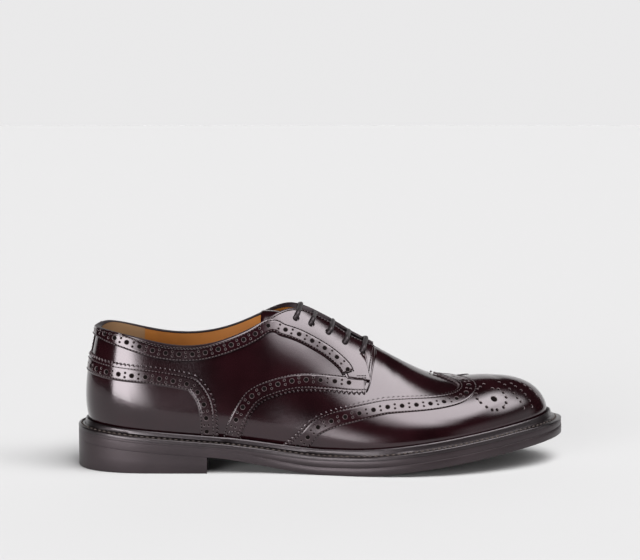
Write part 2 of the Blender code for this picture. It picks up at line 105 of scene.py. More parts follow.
# length share, ball width share, heel width share
LATERAL = [
    (0.000, 0.000, 0.000), (0.022, 0.000, 0.285), (0.085, 0.000, 0.450), (0.180, 0.000, 0.500),
    (0.290, 0.020, 0.480), (0.390, 0.155, 0.300), (0.500, 0.330, 0.120), (0.620, 0.475, 0.000),
    (0.730, 0.474, 0.000), (0.835, 0.392, 0.000), (0.925, 0.258, 0.000), (0.980, 0.110, 0.000),
]
MEDIAL = [
    (0.985, 0.212, 0.000), (0.945, 0.322, 0.000), (0.870, 0.420, 0.000), (0.780, 0.477, 0.000),
    (0.690, 0.490, 0.000), (0.590, 0.420, 0.000), (0.480, 0.240, 0.150), (0.380, 0.060, 0.350),
    (0.280, 0.000, 0.445), (0.180, 0.000, 0.485), (0.085, 0.000, 0.440), (0.022, 0.000, 0.280),
]
# u, then how far the upper stands in from the sole's edge: shares of MARGIN
MARGINS = [
    (0.00, 1.15, 1.15), (0.12, 0.98, 0.98), (0.25, 0.85, 0.82), (0.40, 0.80, 0.75),
    (0.60, 0.90, 0.84), (0.80, 0.95, 0.95), (0.92, 1.08, 1.08), (1.00, 1.20, 1.20),
]

# %% Sizes of the upper
TOP = 0.1000
REACH = 0.0270
BULGE = 0.0100
SHOULDER = 0.0300
RIDGE_SHIFT = 0.0050
WALL = 0.0019
LACE = 0.0026
FAN = (-0.369, 0.351)
FAN_CORNER = 0.026
CLOSED = 0.600

# u, reach, top on each side, lean, handle, swell on each side, its height,
# middle on each side, its height
PROFILES = [
    (0.000, 0.993, 0.862, 0.862, 0.867, 0.500, 0.490, 0.490, 1.000, 0.410, 0.410, 0.923),
    (0.080, 0.970, 0.858, 0.871, 0.878, 0.467, 0.480, 0.480, 1.000, 0.380, 0.380, 0.933),
    (0.160, 0.926, 0.821, 0.823, 0.889, 0.433, 0.480, 0.480, 1.100, 0.260, 0.300, 0.900),
    (0.250, 0.956, 0.769, 0.784, 0.911, 0.400, 0.540, 0.600, 1.100, 0.180, 0.300, 0.867),
    (0.330, 0.889, 0.818, 0.834, 0.867, 0.467, 0.640, 0.720, 1.200, 0.140, 0.400, 0.933),
    (0.385, 0.611, 0.903, 0.923, 0.733, 0.600, 0.700, 0.780, 1.300, 0.000, 0.400, 1.133),
    (0.430, 0.315, 0.964, 0.978, 0.511, 0.667, 0.720, 0.800, 1.400, -0.200, 0.200, 1.267),
    (0.480, 0.193, 0.911, 0.921, 0.356, 0.667, 0.660, 0.740, 1.400, -0.500, -0.100, 1.267),
    (0.540, 0.163, 0.797, 0.810, 0.289, 0.600, 0.560, 0.640, 1.300, -0.800, -0.400, 1.200),
    (0.600, 0.000, 0.702, 0.702, 0.000, 0.533, 0.480, 0.500, 1.200, -1.000, -0.700, 1.100),
    (0.650, 0.000, 0.614, 0.614, 0.000, 0.567, 0.420, 0.420, 1.200, -1.000, -0.900, 1.000),
    (0.720, 0.000, 0.528, 0.528, 0.000, 0.600, 0.380, 0.380, 1.100, -0.900, -0.850, 0.867),
    (0.800, 0.000, 0.524, 0.524, 0.000, 0.600, 0.340, 0.340, 1.000, -0.750, -0.750, 0.767),
    (0.880, 0.000, 0.524, 0.524, 0.000, 0.567, 0.280, 0.280, 0.840, -0.530, -0.530, 0.697),
    (0.940, 0.000, 0.524, 0.524, 0.000, 0.567, 0.230, 0.230, 0.840, -0.530, -0.530, 0.697),
    (1.000, 0.000, 0.524, 0.524, 0.000, 0.567, 0.230, 0.230, 0.840, -0.530, -0.530, 0.697),
]

# Edges of the leather pieces. QUARTER and WING give u at v, the others v at u.
QUARTER = [
    (0.000, 0.346), (0.140, 0.352), (0.280, 0.363), (0.356, 0.373), (0.414, 0.394),
    (0.432, 0.415), (0.452, 0.446), (0.468, 0.477), (0.485, 0.520), (0.499, 0.565),
    (0.545, 0.569), (0.666, 0.576), (0.782, 0.582), (0.892, 0.584), (1.000, 0.580),
]
WING = [
    (0.000, 0.410), (0.120, 0.431), (0.206, 0.448), (0.282, 0.464), (0.341, 0.488),
    (0.396, 0.520), (0.438, 0.552), (0.471, 0.586), (0.510, 0.632), (0.567, 0.686),
    (0.632, 0.726), (0.722, 0.743), (0.798, 0.740), (0.890, 0.724), (1.000, 0.690),
]
COUNTER = [
    (0.000, 0.745), (0.060, 0.728), (0.110, 0.714), (0.160, 0.723), (0.205, 0.739),
    (0.240, 0.730), (0.264, 0.704), (0.281, 0.645), (0.293, 0.560), (0.300, 0.492),
    (0.306, 0.385), (0.309, 0.170), (0.310, 0.000),
]
EYESTAY = [
    (0.000, 0.919), (0.060, 0.899), (0.097, 0.875), (0.130, 0.854), (0.162, 0.832),
    (0.199, 0.817), (0.240, 0.819), (0.282, 0.827), (0.319, 0.843), (0.359, 0.857),
    (0.385, 0.868), (0.395, 0.874), (0.403, 0.862), (0.411, 0.828), (0.426, 0.785),
    (0.443, 0.754), (0.467, 0.722), (0.492, 0.694), (0.508, 0.664), (0.518, 0.634),
    (0.523, 0.598),
]
FACING = [(0.000, 1.000), (0.500, 1.000), (0.540, 0.965), (0.590, 0.925)]
EYELETS = [(0.440, 0.918), (0.466, 0.896), (0.498, 0.884), (0.527, 0.866), (0.559, 0.828)]
TONGUE_TOP = [
    (0.382, 0.958), (0.400, 0.956), (0.435, 0.935), (0.480, 0.880), (0.540, 0.770),
    (0.600, 0.690), (0.640, 0.680),
]

# %% [markdown]
# ## Smooth lines through a few knots
#
# A shoemaker bends a lath through a few marks. A cubic spline does the same in numbers: it
# passes through every knot and has no kinks between them.

# %% Splines and steps
def smooth(t):
    t = np.clip(t, 0.0, 1.0)
    return t * t * (3.0 - 2.0 * t)


def stretch(a, b, share):
    return a + (b - a) * share


def unit(vectors):
    return vectors / np.linalg.norm(vectors, axis=-1)[..., None]


def length_of(path):
    """How long a path is at each of its points."""
    return np.concatenate([[0.0], np.cumsum(np.linalg.norm(np.diff(path, axis=0), axis=1))])


def spline(knots, values, at, closed=False):
    """A cubic through the knots, level at both ends or closed on itself."""
    knots = np.asarray(knots, float)
    values = np.asarray(values, float)
    if values.ndim == 1:
        values = values[:, None]
    count = len(knots)
    step = np.diff(knots)
    solver = np.zeros((count, count))
    pull = np.zeros((count, values.shape[1]))
    for i in range(1, count - 1):
        before, after = step[i - 1], step[i]
        solver[i, i - 1:i + 2] = after, 2.0 * (before + after), before
        rise = after * (values[i] - values[i - 1]) / before
        pull[i] = 3.0 * (rise + before * (values[i + 1] - values[i]) / after)
    solver[0, 0] = solver[-1, -1] = 1.0
    if closed:
        before, after = step[-1], step[0]
        solver[0, 0], solver[0, 1], solver[0, -2] = 2.0 * (before + after), before, after
        rise = after * (values[0] - values[-2]) / before
        pull[0] = 3.0 * (rise + before * (values[1] - values[0]) / after)
        solver[-1, 0], solver[-1, -1] = 1.0, -1.0
    slope = np.linalg.solve(solver, pull)
    at = np.clip(np.asarray(at, float), knots[0], knots[-1])
    i = np.clip(np.searchsorted(knots, at, side="right") - 1, 0, count - 2)
    width = step[i][..., None]
    t = ((at - knots[i]) / step[i])[..., None]
    a, b = values[i], values[i + 1]
    m, n = slope[i] * width, slope[i + 1] * width
    out = a + t * m + t ** 2 * (3.0 * (b - a) - 2.0 * m - n) + t ** 3 * (2.0 * (a - b) + m + n)
    return out[..., 0] if out.shape[-1] == 1 else out


def table(rows, at):
    return np.interp(at, [row[0] for row in rows], [row[1] for row in rows])


def through(rows, at, column=1):
    """As table, but along a spline through the rows."""
    return spline([row[0] for row in rows], [row[column] for row in rows], at)


# %% [markdown]
# ## The sole's outline and its heights
#
# The outline is one closed line round the sole. It is cut into an outer and an inner half,
# each running from the heel's back to the toe's tip, so that a share u of 0 to 1 names a
# place on either half. The underside rises from the flat spot under the ball: to the heel's
# breast, and along the toe spring.

# %% Outline of the sole
SHARES = np.linspace(0.0, 1.0, 601)


def make_outline(samples=4001):
    """For each side the even points of its half, and the ways inward from them."""
    outer = [(a * LENGTH + BACK, -b * BALL_WIDTH - c * HEEL_WIDTH) for a, b, c in LATERAL]
    inner = [(a * LENGTH + BACK, b * BALL_WIDTH + c * HEEL_WIDTH) for a, b, c in MEDIAL]
    points = np.array(outer + [(-BACK, TOE_SHIFT)] + inner + outer[:1])
    knots = length_of(points)
    curve = spline(knots, points, np.linspace(0.0, knots[-1], samples), closed=True)
    tail = int(np.argmin(curve[:, 0]))
    curve = np.vstack([curve[tail:-1], curve[:tail + 1]])
    tip = int(np.argmax(curve[:, 0]))
    halves = {}
    for side, part in ((-1, curve[:tip + 1]), (1, curve[tip:][::-1])):
        run = length_of(part)
        line = np.column_stack([np.interp(run[-1] * SHARES, run, part[:, k]) for k in (0, 1)])
        along = np.gradient(line, axis=0)
        along[0], along[-1] = (0.0, side), (0.0, -side)
        along = unit(along)
        halves[side] = (line, np.column_stack([-along[:, 1], along[:, 0]]) * -side)
    return halves


OUTLINE = make_outline()


def margin(side):
    return MARGIN * through(MARGINS, SHARES, 1 if side < 0 else 2)


FEATHER = {side: line + inward * margin(side)[:, None]
           for side, (line, inward) in OUTLINE.items()}


def feather(u, side):
    """Where the upper meets the welt. Both sides have the same x at one u."""
    x = np.interp(u, SHARES, FEATHER[-1][:, 0])
    if side < 0:
        return np.stack([x, np.interp(u, SHARES, FEATHER[-1][:, 1])], -1)
    return np.stack([x, np.interp(x, *FEATHER[1].T)], -1)


for side in (-1, 1):
    widest = np.abs(OUTLINE[side][0][:, 1]).max() / MM
    print("Outline, side", side, "widest, mm:", round(float(widest), 1))


# %% Heights along the sole
def share_of(x):
    return (np.asarray(x, float) - BACK) / LENGTH


def ground(x):
    """Height of the sole's underside over the floor."""
    a = share_of(x)
    block = HEEL_BLOCK * smooth((FLAT[0] - a) / (FLAT[0] - HEEL_LENGTH / LENGTH))
    wedge = HEEL_WEDGE * np.clip(1.0 - a / SEAT, 0.0, 1.0) ** 1.55
    t = np.clip((a - FLAT[1]) / (1.0 - FLAT[1]), 0.0, 1.0)
    return block + wedge + TOE_SPRING * (np.sqrt(BEND ** 2 + t * t * (1.0 + 2.0 * BEND)) - BEND)


def over_outsole(x):
    return ground(x) + OUTSOLE


def welt_foot(x):
    """Height of the midsole's top. The midsole is thin under the heel."""
    return over_outsole(x) + MIDSOLE * stretch(THIN_MIDSOLE, 1.0, smooth((share_of(x) - 0.28) / 0.20))


def bed(x):
    """Height of the welt's top, on which the upper stands."""
    return welt_foot(x) + WELT


print("Toe spring, mm:", round(float(ground(-BACK)) / MM, 1))


# %% [markdown]
# ## The last
#
# Now the surface that carries the leather. At each u a profile rises from the feather line
# to the top: a Bezier curve with five handles, of which three are the bulge near the sole,
# the middle and the shoulder. Round the heel and the toe the profiles fan out from a centre.
# v runs up the profile, from 0 at the welt to 1 at the collar or the ridge of the foot.

# %% Spine of the last and its profiles
def held(x):
    """The fan's centre: x kept between two ends, with soft corners."""
    low, high = FAN[0] * LENGTH, FAN[1] * LENGTH
    soft = FAN_CORNER * LENGTH

    def bend(t):
        return soft * np.log1p(np.exp(np.clip(t / soft, -40.0, 40.0)))

    return low + bend(x - low) - bend(x - high)


def ridge(x):
    return RIDGE_SHIFT * smooth((share_of(x) - 0.33) / 0.60)


ROWS = np.array(PROFILES)


def profile(u, columns=slice(1, None)):
    return spline(ROWS[:, 0], ROWS[:, columns], u)


# %% The last as a function of two shares
def last(u, v, side):
    """A point of the last, for side -1, the outer one, or 1, the inner one."""
    u, v = np.broadcast_arrays(np.asarray(u, float), np.asarray(v, float))
    c = profile(u)
    own = 0 if side < 0 else 1
    reach = np.maximum(c[..., 0], 0.0) * REACH
    top = c[..., 1 + own] * TOP
    lean = np.clip(c[..., 3], 0.0, 1.0) * np.pi / 2
    handle = c[..., 4] * SHOULDER
    swell, swell_height = c[..., 5 + own] * BULGE, c[..., 7] * BULGE
    middle, middle_height = c[..., 8 + own] * BULGE, c[..., 10] * SHOULDER
    foot = feather(u, side)
    centre = held(foot[..., 0])
    spine = np.stack([centre, ridge(centre)], -1)
    away = foot - spine
    width = np.linalg.norm(away, axis=-1)
    away = away / width[..., None]
    before, after = np.clip(u - 0.001, 0.0, 1.0), np.clip(u + 0.001, 0.0, 1.0)
    run = held(feather(after, -1)[..., 0]) - held(feather(before, -1)[..., 0])
    climb = profile(after, 2 + own) - profile(before, 2 + own)
    tilt = climb * TOP / np.maximum(run, 0.3 * MM) * away[..., 0] * np.cos(lean) ** 2
    low = bed(foot[..., 0]) + CLEAR
    handles = (
        (width, low),
        (width + swell, low + swell_height),
        (width + middle, low + middle_height),
        (reach + handle * np.cos(lean), top - handle * np.sin(lean) + handle * tilt),
        (reach, top),
    )
    w = 1.0 - v
    weights = (w ** 4, 4 * w ** 3 * v, 6 * w ** 2 * v ** 2, 4 * w * v ** 3, v ** 4)
    out, up = (sum(weight * pair[k] for weight, pair in zip(weights, handles)) for k in (0, 1))
    return np.concatenate([spine + away * out[..., None], up[..., None]], -1)


def skin(u, v, side, lift):
    """A point a little outside the last, or inside it where lift is below zero."""
    u, v = np.broadcast_arrays(np.asarray(u, float), np.asarray(v, float))
    step = 0.002
    near = np.clip(v, 0.01, 0.98)
    du = last(np.clip(u + step, 0, 1), near, side) - last(np.clip(u - step, 0, 1), near, side)
    dv = last(u, np.clip(v + step, 0, 1), side) - last(u, np.clip(v - step, 0, 1), side)
    normal = np.cross(du, dv) * -side
    normal[..., 2] *= smooth(v / 0.18)
    normal /= np.maximum(np.linalg.norm(normal, axis=-1), 1e-12)[..., None]
    return last(u, v, side) + normal * np.broadcast_to(lift, u.shape)[..., None]


SEAM = 0.9999  # from this share on, a corner lies on the ridge or at the toe's tip


def shared(u, v, side, lift):
    """As skin, but both sides give one point along the heel seam, the toe and the ridge."""
    u, v = np.array(u, float), np.array(v, float)
    u[(v > SEAM) & (u > 0.880)] = 1.0
    own, other = skin(u, v, side, lift), skin(u, v, -side, lift)
    both = (u < 1e-6) | (u > SEAM) | ((v > SEAM) & (u > CLOSED - 1e-6))
    place = np.where(both[:, None], 0.5 * (own + other), own)
    place[:, 1] -= MIDDLE
    return place


test = shared([0.3], [0.5], -1, 0.0)[0]
print("A point half way up the outer side, mm:", np.round(test / MM, 1))


# %% [markdown]
# ## Nets: how a flat piece of leather finds its place
#
# A pattern piece is flat and has straight threads. A net here is that flat piece after it is
# laid on the last: rows and columns of (u, v) shares. Along an edge the rows keep an even
# distance, as a gauge on a stitching machine does, because holes, stitches and pinking must
# run parallel to the edge.

# %% Lines and nets on the last
def walk(line, lift, step):
    """A (u, v) line walked in even steps of real length, on the outer side."""
    line = np.array(line, float)
    run = length_of(line)
    fine = spline(run, line, np.linspace(0.0, run[-1], 900))
    length = length_of(skin(fine[:, 0], fine[:, 1], -1, lift))
    count = max(2, int(round(length[-1] / step)))
    at = np.linspace(0.0, count * step, count + 1)
    return np.column_stack([np.interp(at, length, fine[:, k]) for k in (0, 1)])


def lay_in(line, hint, width, rows):
    """A net from an edge line inwards, with rows an even distance apart."""
    net = [line]
    along = np.gradient(last(line[:, 0], np.clip(line[:, 1], 0.0, 1.0), -1), axis=0)
    for _ in range(30):
        along[1:-1] = (along[:-2] + along[1:-1] + along[2:]) / 3.0
    along = unit(along)
    step = width / rows
    for number in range(rows):
        u = np.clip(net[-1][:, 0], 0.002, 0.998)
        v = np.clip(net[-1][:, 1], 0.01, 0.985)
        du = (last(u + 0.002, v, -1) - last(u - 0.002, v, -1)) / 0.004
        dv = (last(u, v + 0.01, -1) - last(u, v - 0.01, -1)) / 0.02
        if number == 0:
            way = unit(np.cross(np.cross(du, dv), along))
        a, b, c = (du * du).sum(1), (du * dv).sum(1), (dv * dv).sum(1)
        p, q = (du * way).sum(1), (dv * way).sum(1)
        change = np.column_stack([p * c - q * b, q * a - p * b]) / (a * c - b * b)[:, None]
        if number == 0 and np.sum(change @ np.array(hint)) < 0.0:
            way, change = -way, -change
        net.append(net[-1] + change * step)
    return np.array(net)


def between(net, column, row):
    """(u, v) at any place of a net, counted in cells."""
    column, row = np.broadcast_arrays(column, row)
    i = np.clip(np.floor(column).astype(int), 0, net.shape[1] - 2)
    j = np.clip(np.floor(row).astype(int), 0, net.shape[0] - 2)
    a, b = (column - i)[:, None], (row - j)[:, None]
    low = (1.0 - a) * net[j, i] + a * net[j, i + 1]
    high = (1.0 - a) * net[j + 1, i] + a * net[j + 1, i + 1]
    return (1.0 - b) * low + b * high


print("Edge of the wing, mm:", len(walk([(u, v) for v, u in WING], 0.0, MM)) - 1)


# %% [markdown]
# ## From a net to leather
#
# Each piece starts as a flat grid. Holes are punched before it is laid: the cells inside a
# hole are taken out, and the corners round it are moved onto a circle. Then every corner
# goes to its place on the last, and the open edges are folded down to give the leather its
# thickness, as a cut edge shows it.

# %% Holes and teeth
RIM = 0.24 * MM  # how wide a hole's rounded rim is


def punch(place, column, row, holes):
    """Moves corners of a grid onto circles. Returns the cells inside and round them."""
    rows, columns = column.shape[0] - 1, column.shape[1] - 1
    gone, rims = set(), set()
    for centre, radius in holes:
        i0, j0 = round(centre[0]), round(centre[1])
        if not (1 < i0 < columns - 1 and 1 < j0 < rows - 1):
            continue
        wide = 0.5 * (place[j0, i0 + 1] - place[j0, i0 - 1])
        tall = 0.5 * (place[j0 + 1, i0] - place[j0 - 1, i0])
        first = wide / np.linalg.norm(wide)
        lean = np.dot(tall, first)
        a, b = np.linalg.norm(wide), np.linalg.norm(tall - lean * first)
        half_c, half_r = max(1, round(radius / a)), max(1, round(radius / b))
        if not (half_c + 1 < i0 < columns - half_c - 1 and half_r + 1 < j0 < rows - half_r - 1):
            continue
        for j in range(-half_r - 1, half_r + 2):
            for i in range(-half_c - 1, half_c + 2):
                outer = abs(i) > half_c or abs(j) > half_r
                if outer or abs(i) == half_c or abs(j) == half_r:
                    x, y = i * a + j * lean, j * b
                    wanted = (radius + RIM * outer) / math.hypot(x, y)
                    x, y = x * wanted, y * wanted
                    row[j0 + j, i0 + i] = centre[1] + y / b
                    column[j0 + j, i0 + i] = centre[0] + (x - y / b * lean) / a
                if not outer and i < half_c and j < half_r:
                    gone.add((j0 + j, i0 + i))
                if i <= half_c and j <= half_r:
                    rims.add((j0 + j, i0 + i))
    return gone, rims - gone


def pinking(column, row, depth, cells=6, reach=4):
    """Cuts the first row of a grid into teeth, and spreads the rows behind it."""
    columns = column.shape[1] - 1
    saw = np.abs((np.arange(columns + 1.0) % cells) / (cells / 2.0) - 1.0)
    for j in range(reach):
        row[j] = saw ** 1.6 * depth + (reach - saw ** 1.6 * depth) * j / reach


# %% Lay a net on the last
TURN_UNDER = -0.03  # the v to which leather runs on under the welt


def sheet(work, places):
    """Adds a grid whose corners lie at rows of places, and returns the corners."""
    places = np.asarray(places)
    grid = bmesh.ops.create_grid(work, x_segments=places.shape[1] - 1,
                                 y_segments=places.shape[0] - 1, size=1.0)
    for corner, place in zip(grid["verts"], places.reshape(-1, 3)):
        corner.co = place
    return grid["verts"]


def inside_net(uv):
    return np.clip(uv, (0.0, TURN_UNDER), 1.0)


def lay(work, net, side, lift, holes=(), teeth=None):
    """Adds one net to a bmesh as a layer of leather with its holes and teeth."""
    rows, columns = net.shape[0], net.shape[1]
    tags = [work.verts.layers.float.get(k) or work.verts.layers.float.new(k) for k in "uvs"]
    column, row = np.meshgrid(np.arange(float(columns)), np.arange(float(rows)))
    if teeth is not None:
        pinking(column, row, teeth)
    place = shared(*inside_net(net.reshape(-1, 2)).T, side, 0.0)
    gone, rims = punch(place.reshape(rows, columns, 3), column, row, holes)
    uv = inside_net(between(net, column.ravel(), row.ravel()))
    height = lift(column.ravel(), row.ravel(), uv) if callable(lift) else lift
    corners = sheet(work, shared(*uv.T, side, height).reshape(rows, columns, 3))
    for corner, (u, v) in zip(corners, uv):
        corner[tags[0]], corner[tags[1]], corner[tags[2]] = u, v, side
    number = {corner: i for i, corner in enumerate(corners)}
    taken = []
    for face in {face for corner in corners for face in corner.link_faces}:
        cell = divmod(min(number[c] for c in face.verts), columns)
        # Rim cells round the holes take the second finish, pale grey as painted highlight.
        face.material_index = int(cell in rims)
        if cell in gone or all(c[tags[1]] > SEAM for c in face.verts):
            taken.append(face)
    if taken:
        bmesh.ops.delete(work, geom=taken, context="FACES")
        loose = [c for c in corners if c.is_valid and not c.link_faces]
        bmesh.ops.delete(work, geom=loose, context="VERTS")


# %% [markdown]
# ## Closing a piece
#
# The nets of a piece meet along its seams, where their corners are welded into one. Its
# faces then have to look away from the foot. An open edge is sunk a little, which rounds it,
# and folded down by the leather's thickness.

# %% Weld, turn and fold
SUNK = 0.26 * MM  # how deep a rounded edge lies under the leather's face


def weld(work, gap=2e-6):
    bmesh.ops.remove_doubles(work, verts=work.verts, dist=gap)


def facing_out(work):
    bmesh.ops.recalc_face_normals(work, faces=work.faces)


def outwards(work):
    """Turns each face away from the inside of the shoe."""
    tags = [work.verts.layers.float.get(k) for k in "uvs"]
    faces = list(work.faces)
    normals = np.array([face.normal for face in faces])
    share = np.array([[sum(c[t] for c in face.verts) / len(face.verts) for t in tags]
                      for face in faces])
    turned = []
    for side in (-1, 1):
        own = np.nonzero(np.sign(share[:, 2]) == side)[0]
        u, v = share[own, 0], np.clip(share[own, 1], 0.0, 1.0)
        out = skin(u, v, side, MM) - skin(u, v, side, 0.0)
        turned += [faces[i] for i in own[(out * normals[own]).sum(1) < 0.0]]
    bmesh.ops.reverse_faces(work, faces=turned)


def spot_of(corner):
    return tuple(round(x, 7) for x in corner.co)


def fold_edges(work, depth):
    """Rounds the open edges a little and folds them down by the leather's thickness."""
    tags = [work.verts.layers.float.get(k) for k in "uv"]
    work.normal_update()
    open_edges = [e for e in work.edges if e.is_boundary
                  and not all(c[tags[1]] > SEAM and c[tags[0]] > CLOSED - 0.001 for c in e.verts)]
    rim = {c: c.normal.copy() for e in open_edges for c in e.verts}
    for corner, normal in rim.items():
        corner.co -= normal * SUNK
    normals = {spot_of(corner): normal for corner, normal in rim.items()}
    for made in bmesh.ops.extrude_edge_only(work, edges=open_edges)["geom"]:
        if isinstance(made, bmesh.types.BMVert):
            made.co -= normals[spot_of(made)] * depth
        elif isinstance(made, bmesh.types.BMFace):
            # The folded wall takes the second finish: its cut edge, with painted highlight.
            made.material_index = 1


def close_leather(work, depth):
    """Welds the nets of a piece, turns its faces outwards and gives its edges a thickness."""
    weld(work)
    outwards(work)
    fold_edges(work, depth)


# %% Make an object of a piece
def finish_piece(name, work, finishes, nodes=(), smooth_angle=40.0):
    """Makes the object, shades it smooth up to its sharp edges and sets it on the shoe."""
    work.normal_update()
    limit = math.radians(smooth_angle)
    for face in work.faces:
        face.smooth = True
    for edge in work.edges:
        if len(edge.link_faces) == 2 and edge.calc_face_angle(0.0) > limit:
            edge.smooth = False
    mesh = bpy.data.meshes.new(name)
    work.to_mesh(mesh)
    work.free()
    piece = bpy.data.objects.new(name, mesh)
    bpy.context.scene.collection.objects.link(piece)
    for finish in finishes:
        mesh.materials.append(finish)
    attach(piece, "root")
    if nodes:
        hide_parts(*nodes)
    print(name, sum(len(p.vertices) - 2 for p in mesh.polygons), "triangles")


# %% [markdown]
# ## Finishes
#
# The leather is calf, stained a burgundy so dark that it looks black where it turns away
# from the light, and then burnished with wax. Three things make it read as leather: a fine
# grain of pores and tiny folds, a cloudy stain, and a hard clear shine on top. The grain and
# the clouds come from one shader group, because the leathers of all the pieces need them.

# %% Grain group
def new_group(name, inputs, outputs):
    group = bpy.data.node_groups.new(name, "ShaderNodeTree")
    for title, kind, value in inputs:
        socket = group.interface.new_socket(title, in_out="INPUT", socket_type=kind)
        if value is not None:
            socket.default_value = value
    for title, kind in outputs:
        group.interface.new_socket(title, in_out="OUTPUT", socket_type=kind)
    return group, group.nodes.new("NodeGroupInput"), group.nodes.new("NodeGroupOutput")


FLOAT, VECTOR = "NodeSocketFloat", "NodeSocketVector"


def fill(tree, node, **values):
    """Gives each named input of a node a plain value, or a link from another node's output."""
    for name, value in values.items():
        socket = node.inputs[name.replace("_", " ")]
        if isinstance(value, bpy.types.NodeSocket):
            tree.links.new(value, socket)
        else:
            socket.default_value = value
    return node


def add(tree, kind, **values):
    return fill(tree, tree.nodes.new("ShaderNode" + kind), **values)


def math_node(tree, kind, a, b=0.0, clamp=False):
    node = add(tree, "Math")
    node.operation = kind
    node.use_clamp = clamp
    for socket, value in zip(node.inputs, (a, b)):
        if isinstance(value, float):
            socket.default_value = value
        else:
            tree.links.new(value, socket)
    return node.outputs[0]


def make_grain():
    """Pores and fine folds of calf: a height from 0 to 1, and a slow cloud for the stain."""
    group, given, out = new_group(
        "leather grain",
        [("Scale", FLOAT, 1.0), ("Fold strength", FLOAT, 0.5)],
        [("Height", FLOAT), ("Cloud", FLOAT)],
    )
    place = add(group, "TexCoord").outputs["Object"]
    scale, fold_strength = given.outputs["Scale"], given.outputs["Fold strength"]
    pores = add(group, "TexVoronoi", Vector=place)
    pores.feature = "DISTANCE_TO_EDGE"
    fill(group, pores, Scale=math_node(group, "MULTIPLY", scale, 1500.0))
    folds = add(group, "TexNoise", Vector=place, Detail=6.0, Roughness=0.62,
                Scale=math_node(group, "MULTIPLY", scale, 240.0))
    cloud = add(group, "TexNoise", Vector=place, Scale=32.0, Detail=3.0)
    pore_height = math_node(group, "MULTIPLY", pores.outputs["Distance"], 2.4, clamp=True)
    fold_height = math_node(group, "MULTIPLY", folds.outputs["Fac"], fold_strength)
    fill(group, out, Height=math_node(group, "ADD", pore_height, fold_height),
         Cloud=cloud.outputs["Fac"])
    return group


grain = make_grain()
print("Group", grain.name, [s.name for s in grain.interface.items_tree])


# %% Leather finish
def principled(name, **values):
    finish = bpy.data.materials.new(name)
    finish.use_nodes = True
    fill(finish.node_tree, finish.node_tree.nodes["Principled BSDF"], **values)
    return finish


def leather(name, dark, light, roughness, coat, fold, strength, distance=0.08 * MM, scale=1.0,
            mirror=0.5):
    finish = principled(name, Coat_Weight=coat, Coat_Roughness=0.05, Specular_IOR_Level=mirror,
                        Specular_Tint=(1.0, 0.87, 0.93, 1.0))
    tree = finish.node_tree
    texture = add(tree, "Group")
    texture.node_tree = grain
    fill(tree, texture, Scale=scale, Fold_strength=fold)
    stain = add(tree, "ValToRGB", Fac=texture.outputs["Cloud"])
    for point, at, colour in zip(stain.color_ramp.elements, (0.36, 0.66), (dark, light)):
        point.position = at
        point.color = (*colour, 1.0)
    low, high = roughness
    spread = math_node(tree, "MULTIPLY", texture.outputs["Cloud"], high - low)
    bump = add(tree, "Bump", Strength=strength, Distance=distance, Height=texture.outputs["Height"])
    fill(tree, tree.nodes["Principled BSDF"], Base_Color=stain.outputs["Color"],
         Roughness=math_node(tree, "ADD", spread, low), Normal=bump.outputs["Normal"])
    return finish


def matt(name, colour):
    return principled(name, Base_Color=(*colour, 1.0), Roughness=0.9, Specular_IOR_Level=0.1)


# dark and light of the stain, roughness from and to, coat, fold strength, bump strength
DRESSED = ((0.0095, 0.0065, 0.0072), (0.018, 0.0125, 0.0137), (0.30, 0.44), 0.0, 0.8, 0.3)

calf = leather("burnished calf", (0.0055, 0.0012, 0.0018), (0.0115, 0.0024, 0.0036),
               (0.10, 0.17), 0.35, 0.9, 0.14)
# The pale grey of the cut edges and hole rims is partly the dyed cut edge and partly painted highlight,
# the light their rounded edges catch.
cut_edge_and_highlight = leather("cut edge of calf with painted highlight", (0.062, 0.046, 0.047), (0.105, 0.084, 0.086),
                    (0.42, 0.58), 0.0, 0.9, 0.5)
tan = leather("tan lining", (0.29, 0.105, 0.015), (0.40, 0.150, 0.024), (0.5, 0.65), 0.0, 0.8, 0.35)
suede = leather("heel grip suede", (0.21, 0.125, 0.058), (0.30, 0.180, 0.088),
                (0.85, 0.95), 0.0, 1.4, 0.8, distance=0.15 * MM, scale=0.7)
sole_side = leather("dressed sole edge", *DRESSED)
thread = leather("waxed thread", (0.032, 0.022, 0.023), (0.058, 0.042, 0.043),
                 (0.30, 0.42), 0.3, 0.5, 0.2)
welt_yarn = leather("welt yarn", (0.030, 0.023, 0.019), (0.058, 0.045, 0.036),
                    (0.5, 0.65), 0.0, 0.5, 0.3)
waxed_cord = leather("waxed cord", (0.006, 0.0045, 0.0047), (0.012, 0.009, 0.0095),
                     (0.40, 0.55), 0.0, 0.8, 0.5)
sole_under = leather("sole underside", (0.014, 0.010, 0.010), (0.028, 0.020, 0.019),
                     (0.5, 0.65), 0.0, 0.8, 0.3)
collar_edge = leather("collar edge", (0.006, 0.003, 0.0035), (0.012, 0.006, 0.007),
                      (0.40, 0.55), 0.0, 0.8, 0.3, mirror=0.25)
heel_side = leather("dressed heel", *DRESSED)
welt_side = leather("dressed welt", (0.004, 0.0028, 0.0030), (0.008, 0.0058, 0.0062),
                    (0.24, 0.36), 0.2, 0.8, 0.4)
rubber = leather("rubber top piece", (0.014, 0.013, 0.013), (0.022, 0.020, 0.020),
                 (0.7, 0.8), 0.0, 0.5, 0.3)
# A near-black flat finish: painted shade for the insides of the brogue holes and the needle holes.
hole_shade_finish = matt("painted shade of a hole", (0.003, 0.0015, 0.0015))
print("Finishes:", len(bpy.data.materials))

# %% [markdown]
# ## The vamp
#
# The vamp is the part of the shell that shows between the wing and the quarter. It is laid
# straight on the last, with its two sides joined along the ridge in front of the laces. A new
# shoe has been bent on the bench a few times, so it carries three very shallow creases where
# the toes bend.

# %% Vamp
def plain_net(u_of, v_of, columns, rows):
    """A net from two functions of the shares s, along, and t, across."""
    s, t = np.meshgrid(np.linspace(0.0, 1.0, columns + 1), np.linspace(0.0, 1.0, rows + 1))
    return np.stack([u_of(s, t), v_of(s, t)], -1)


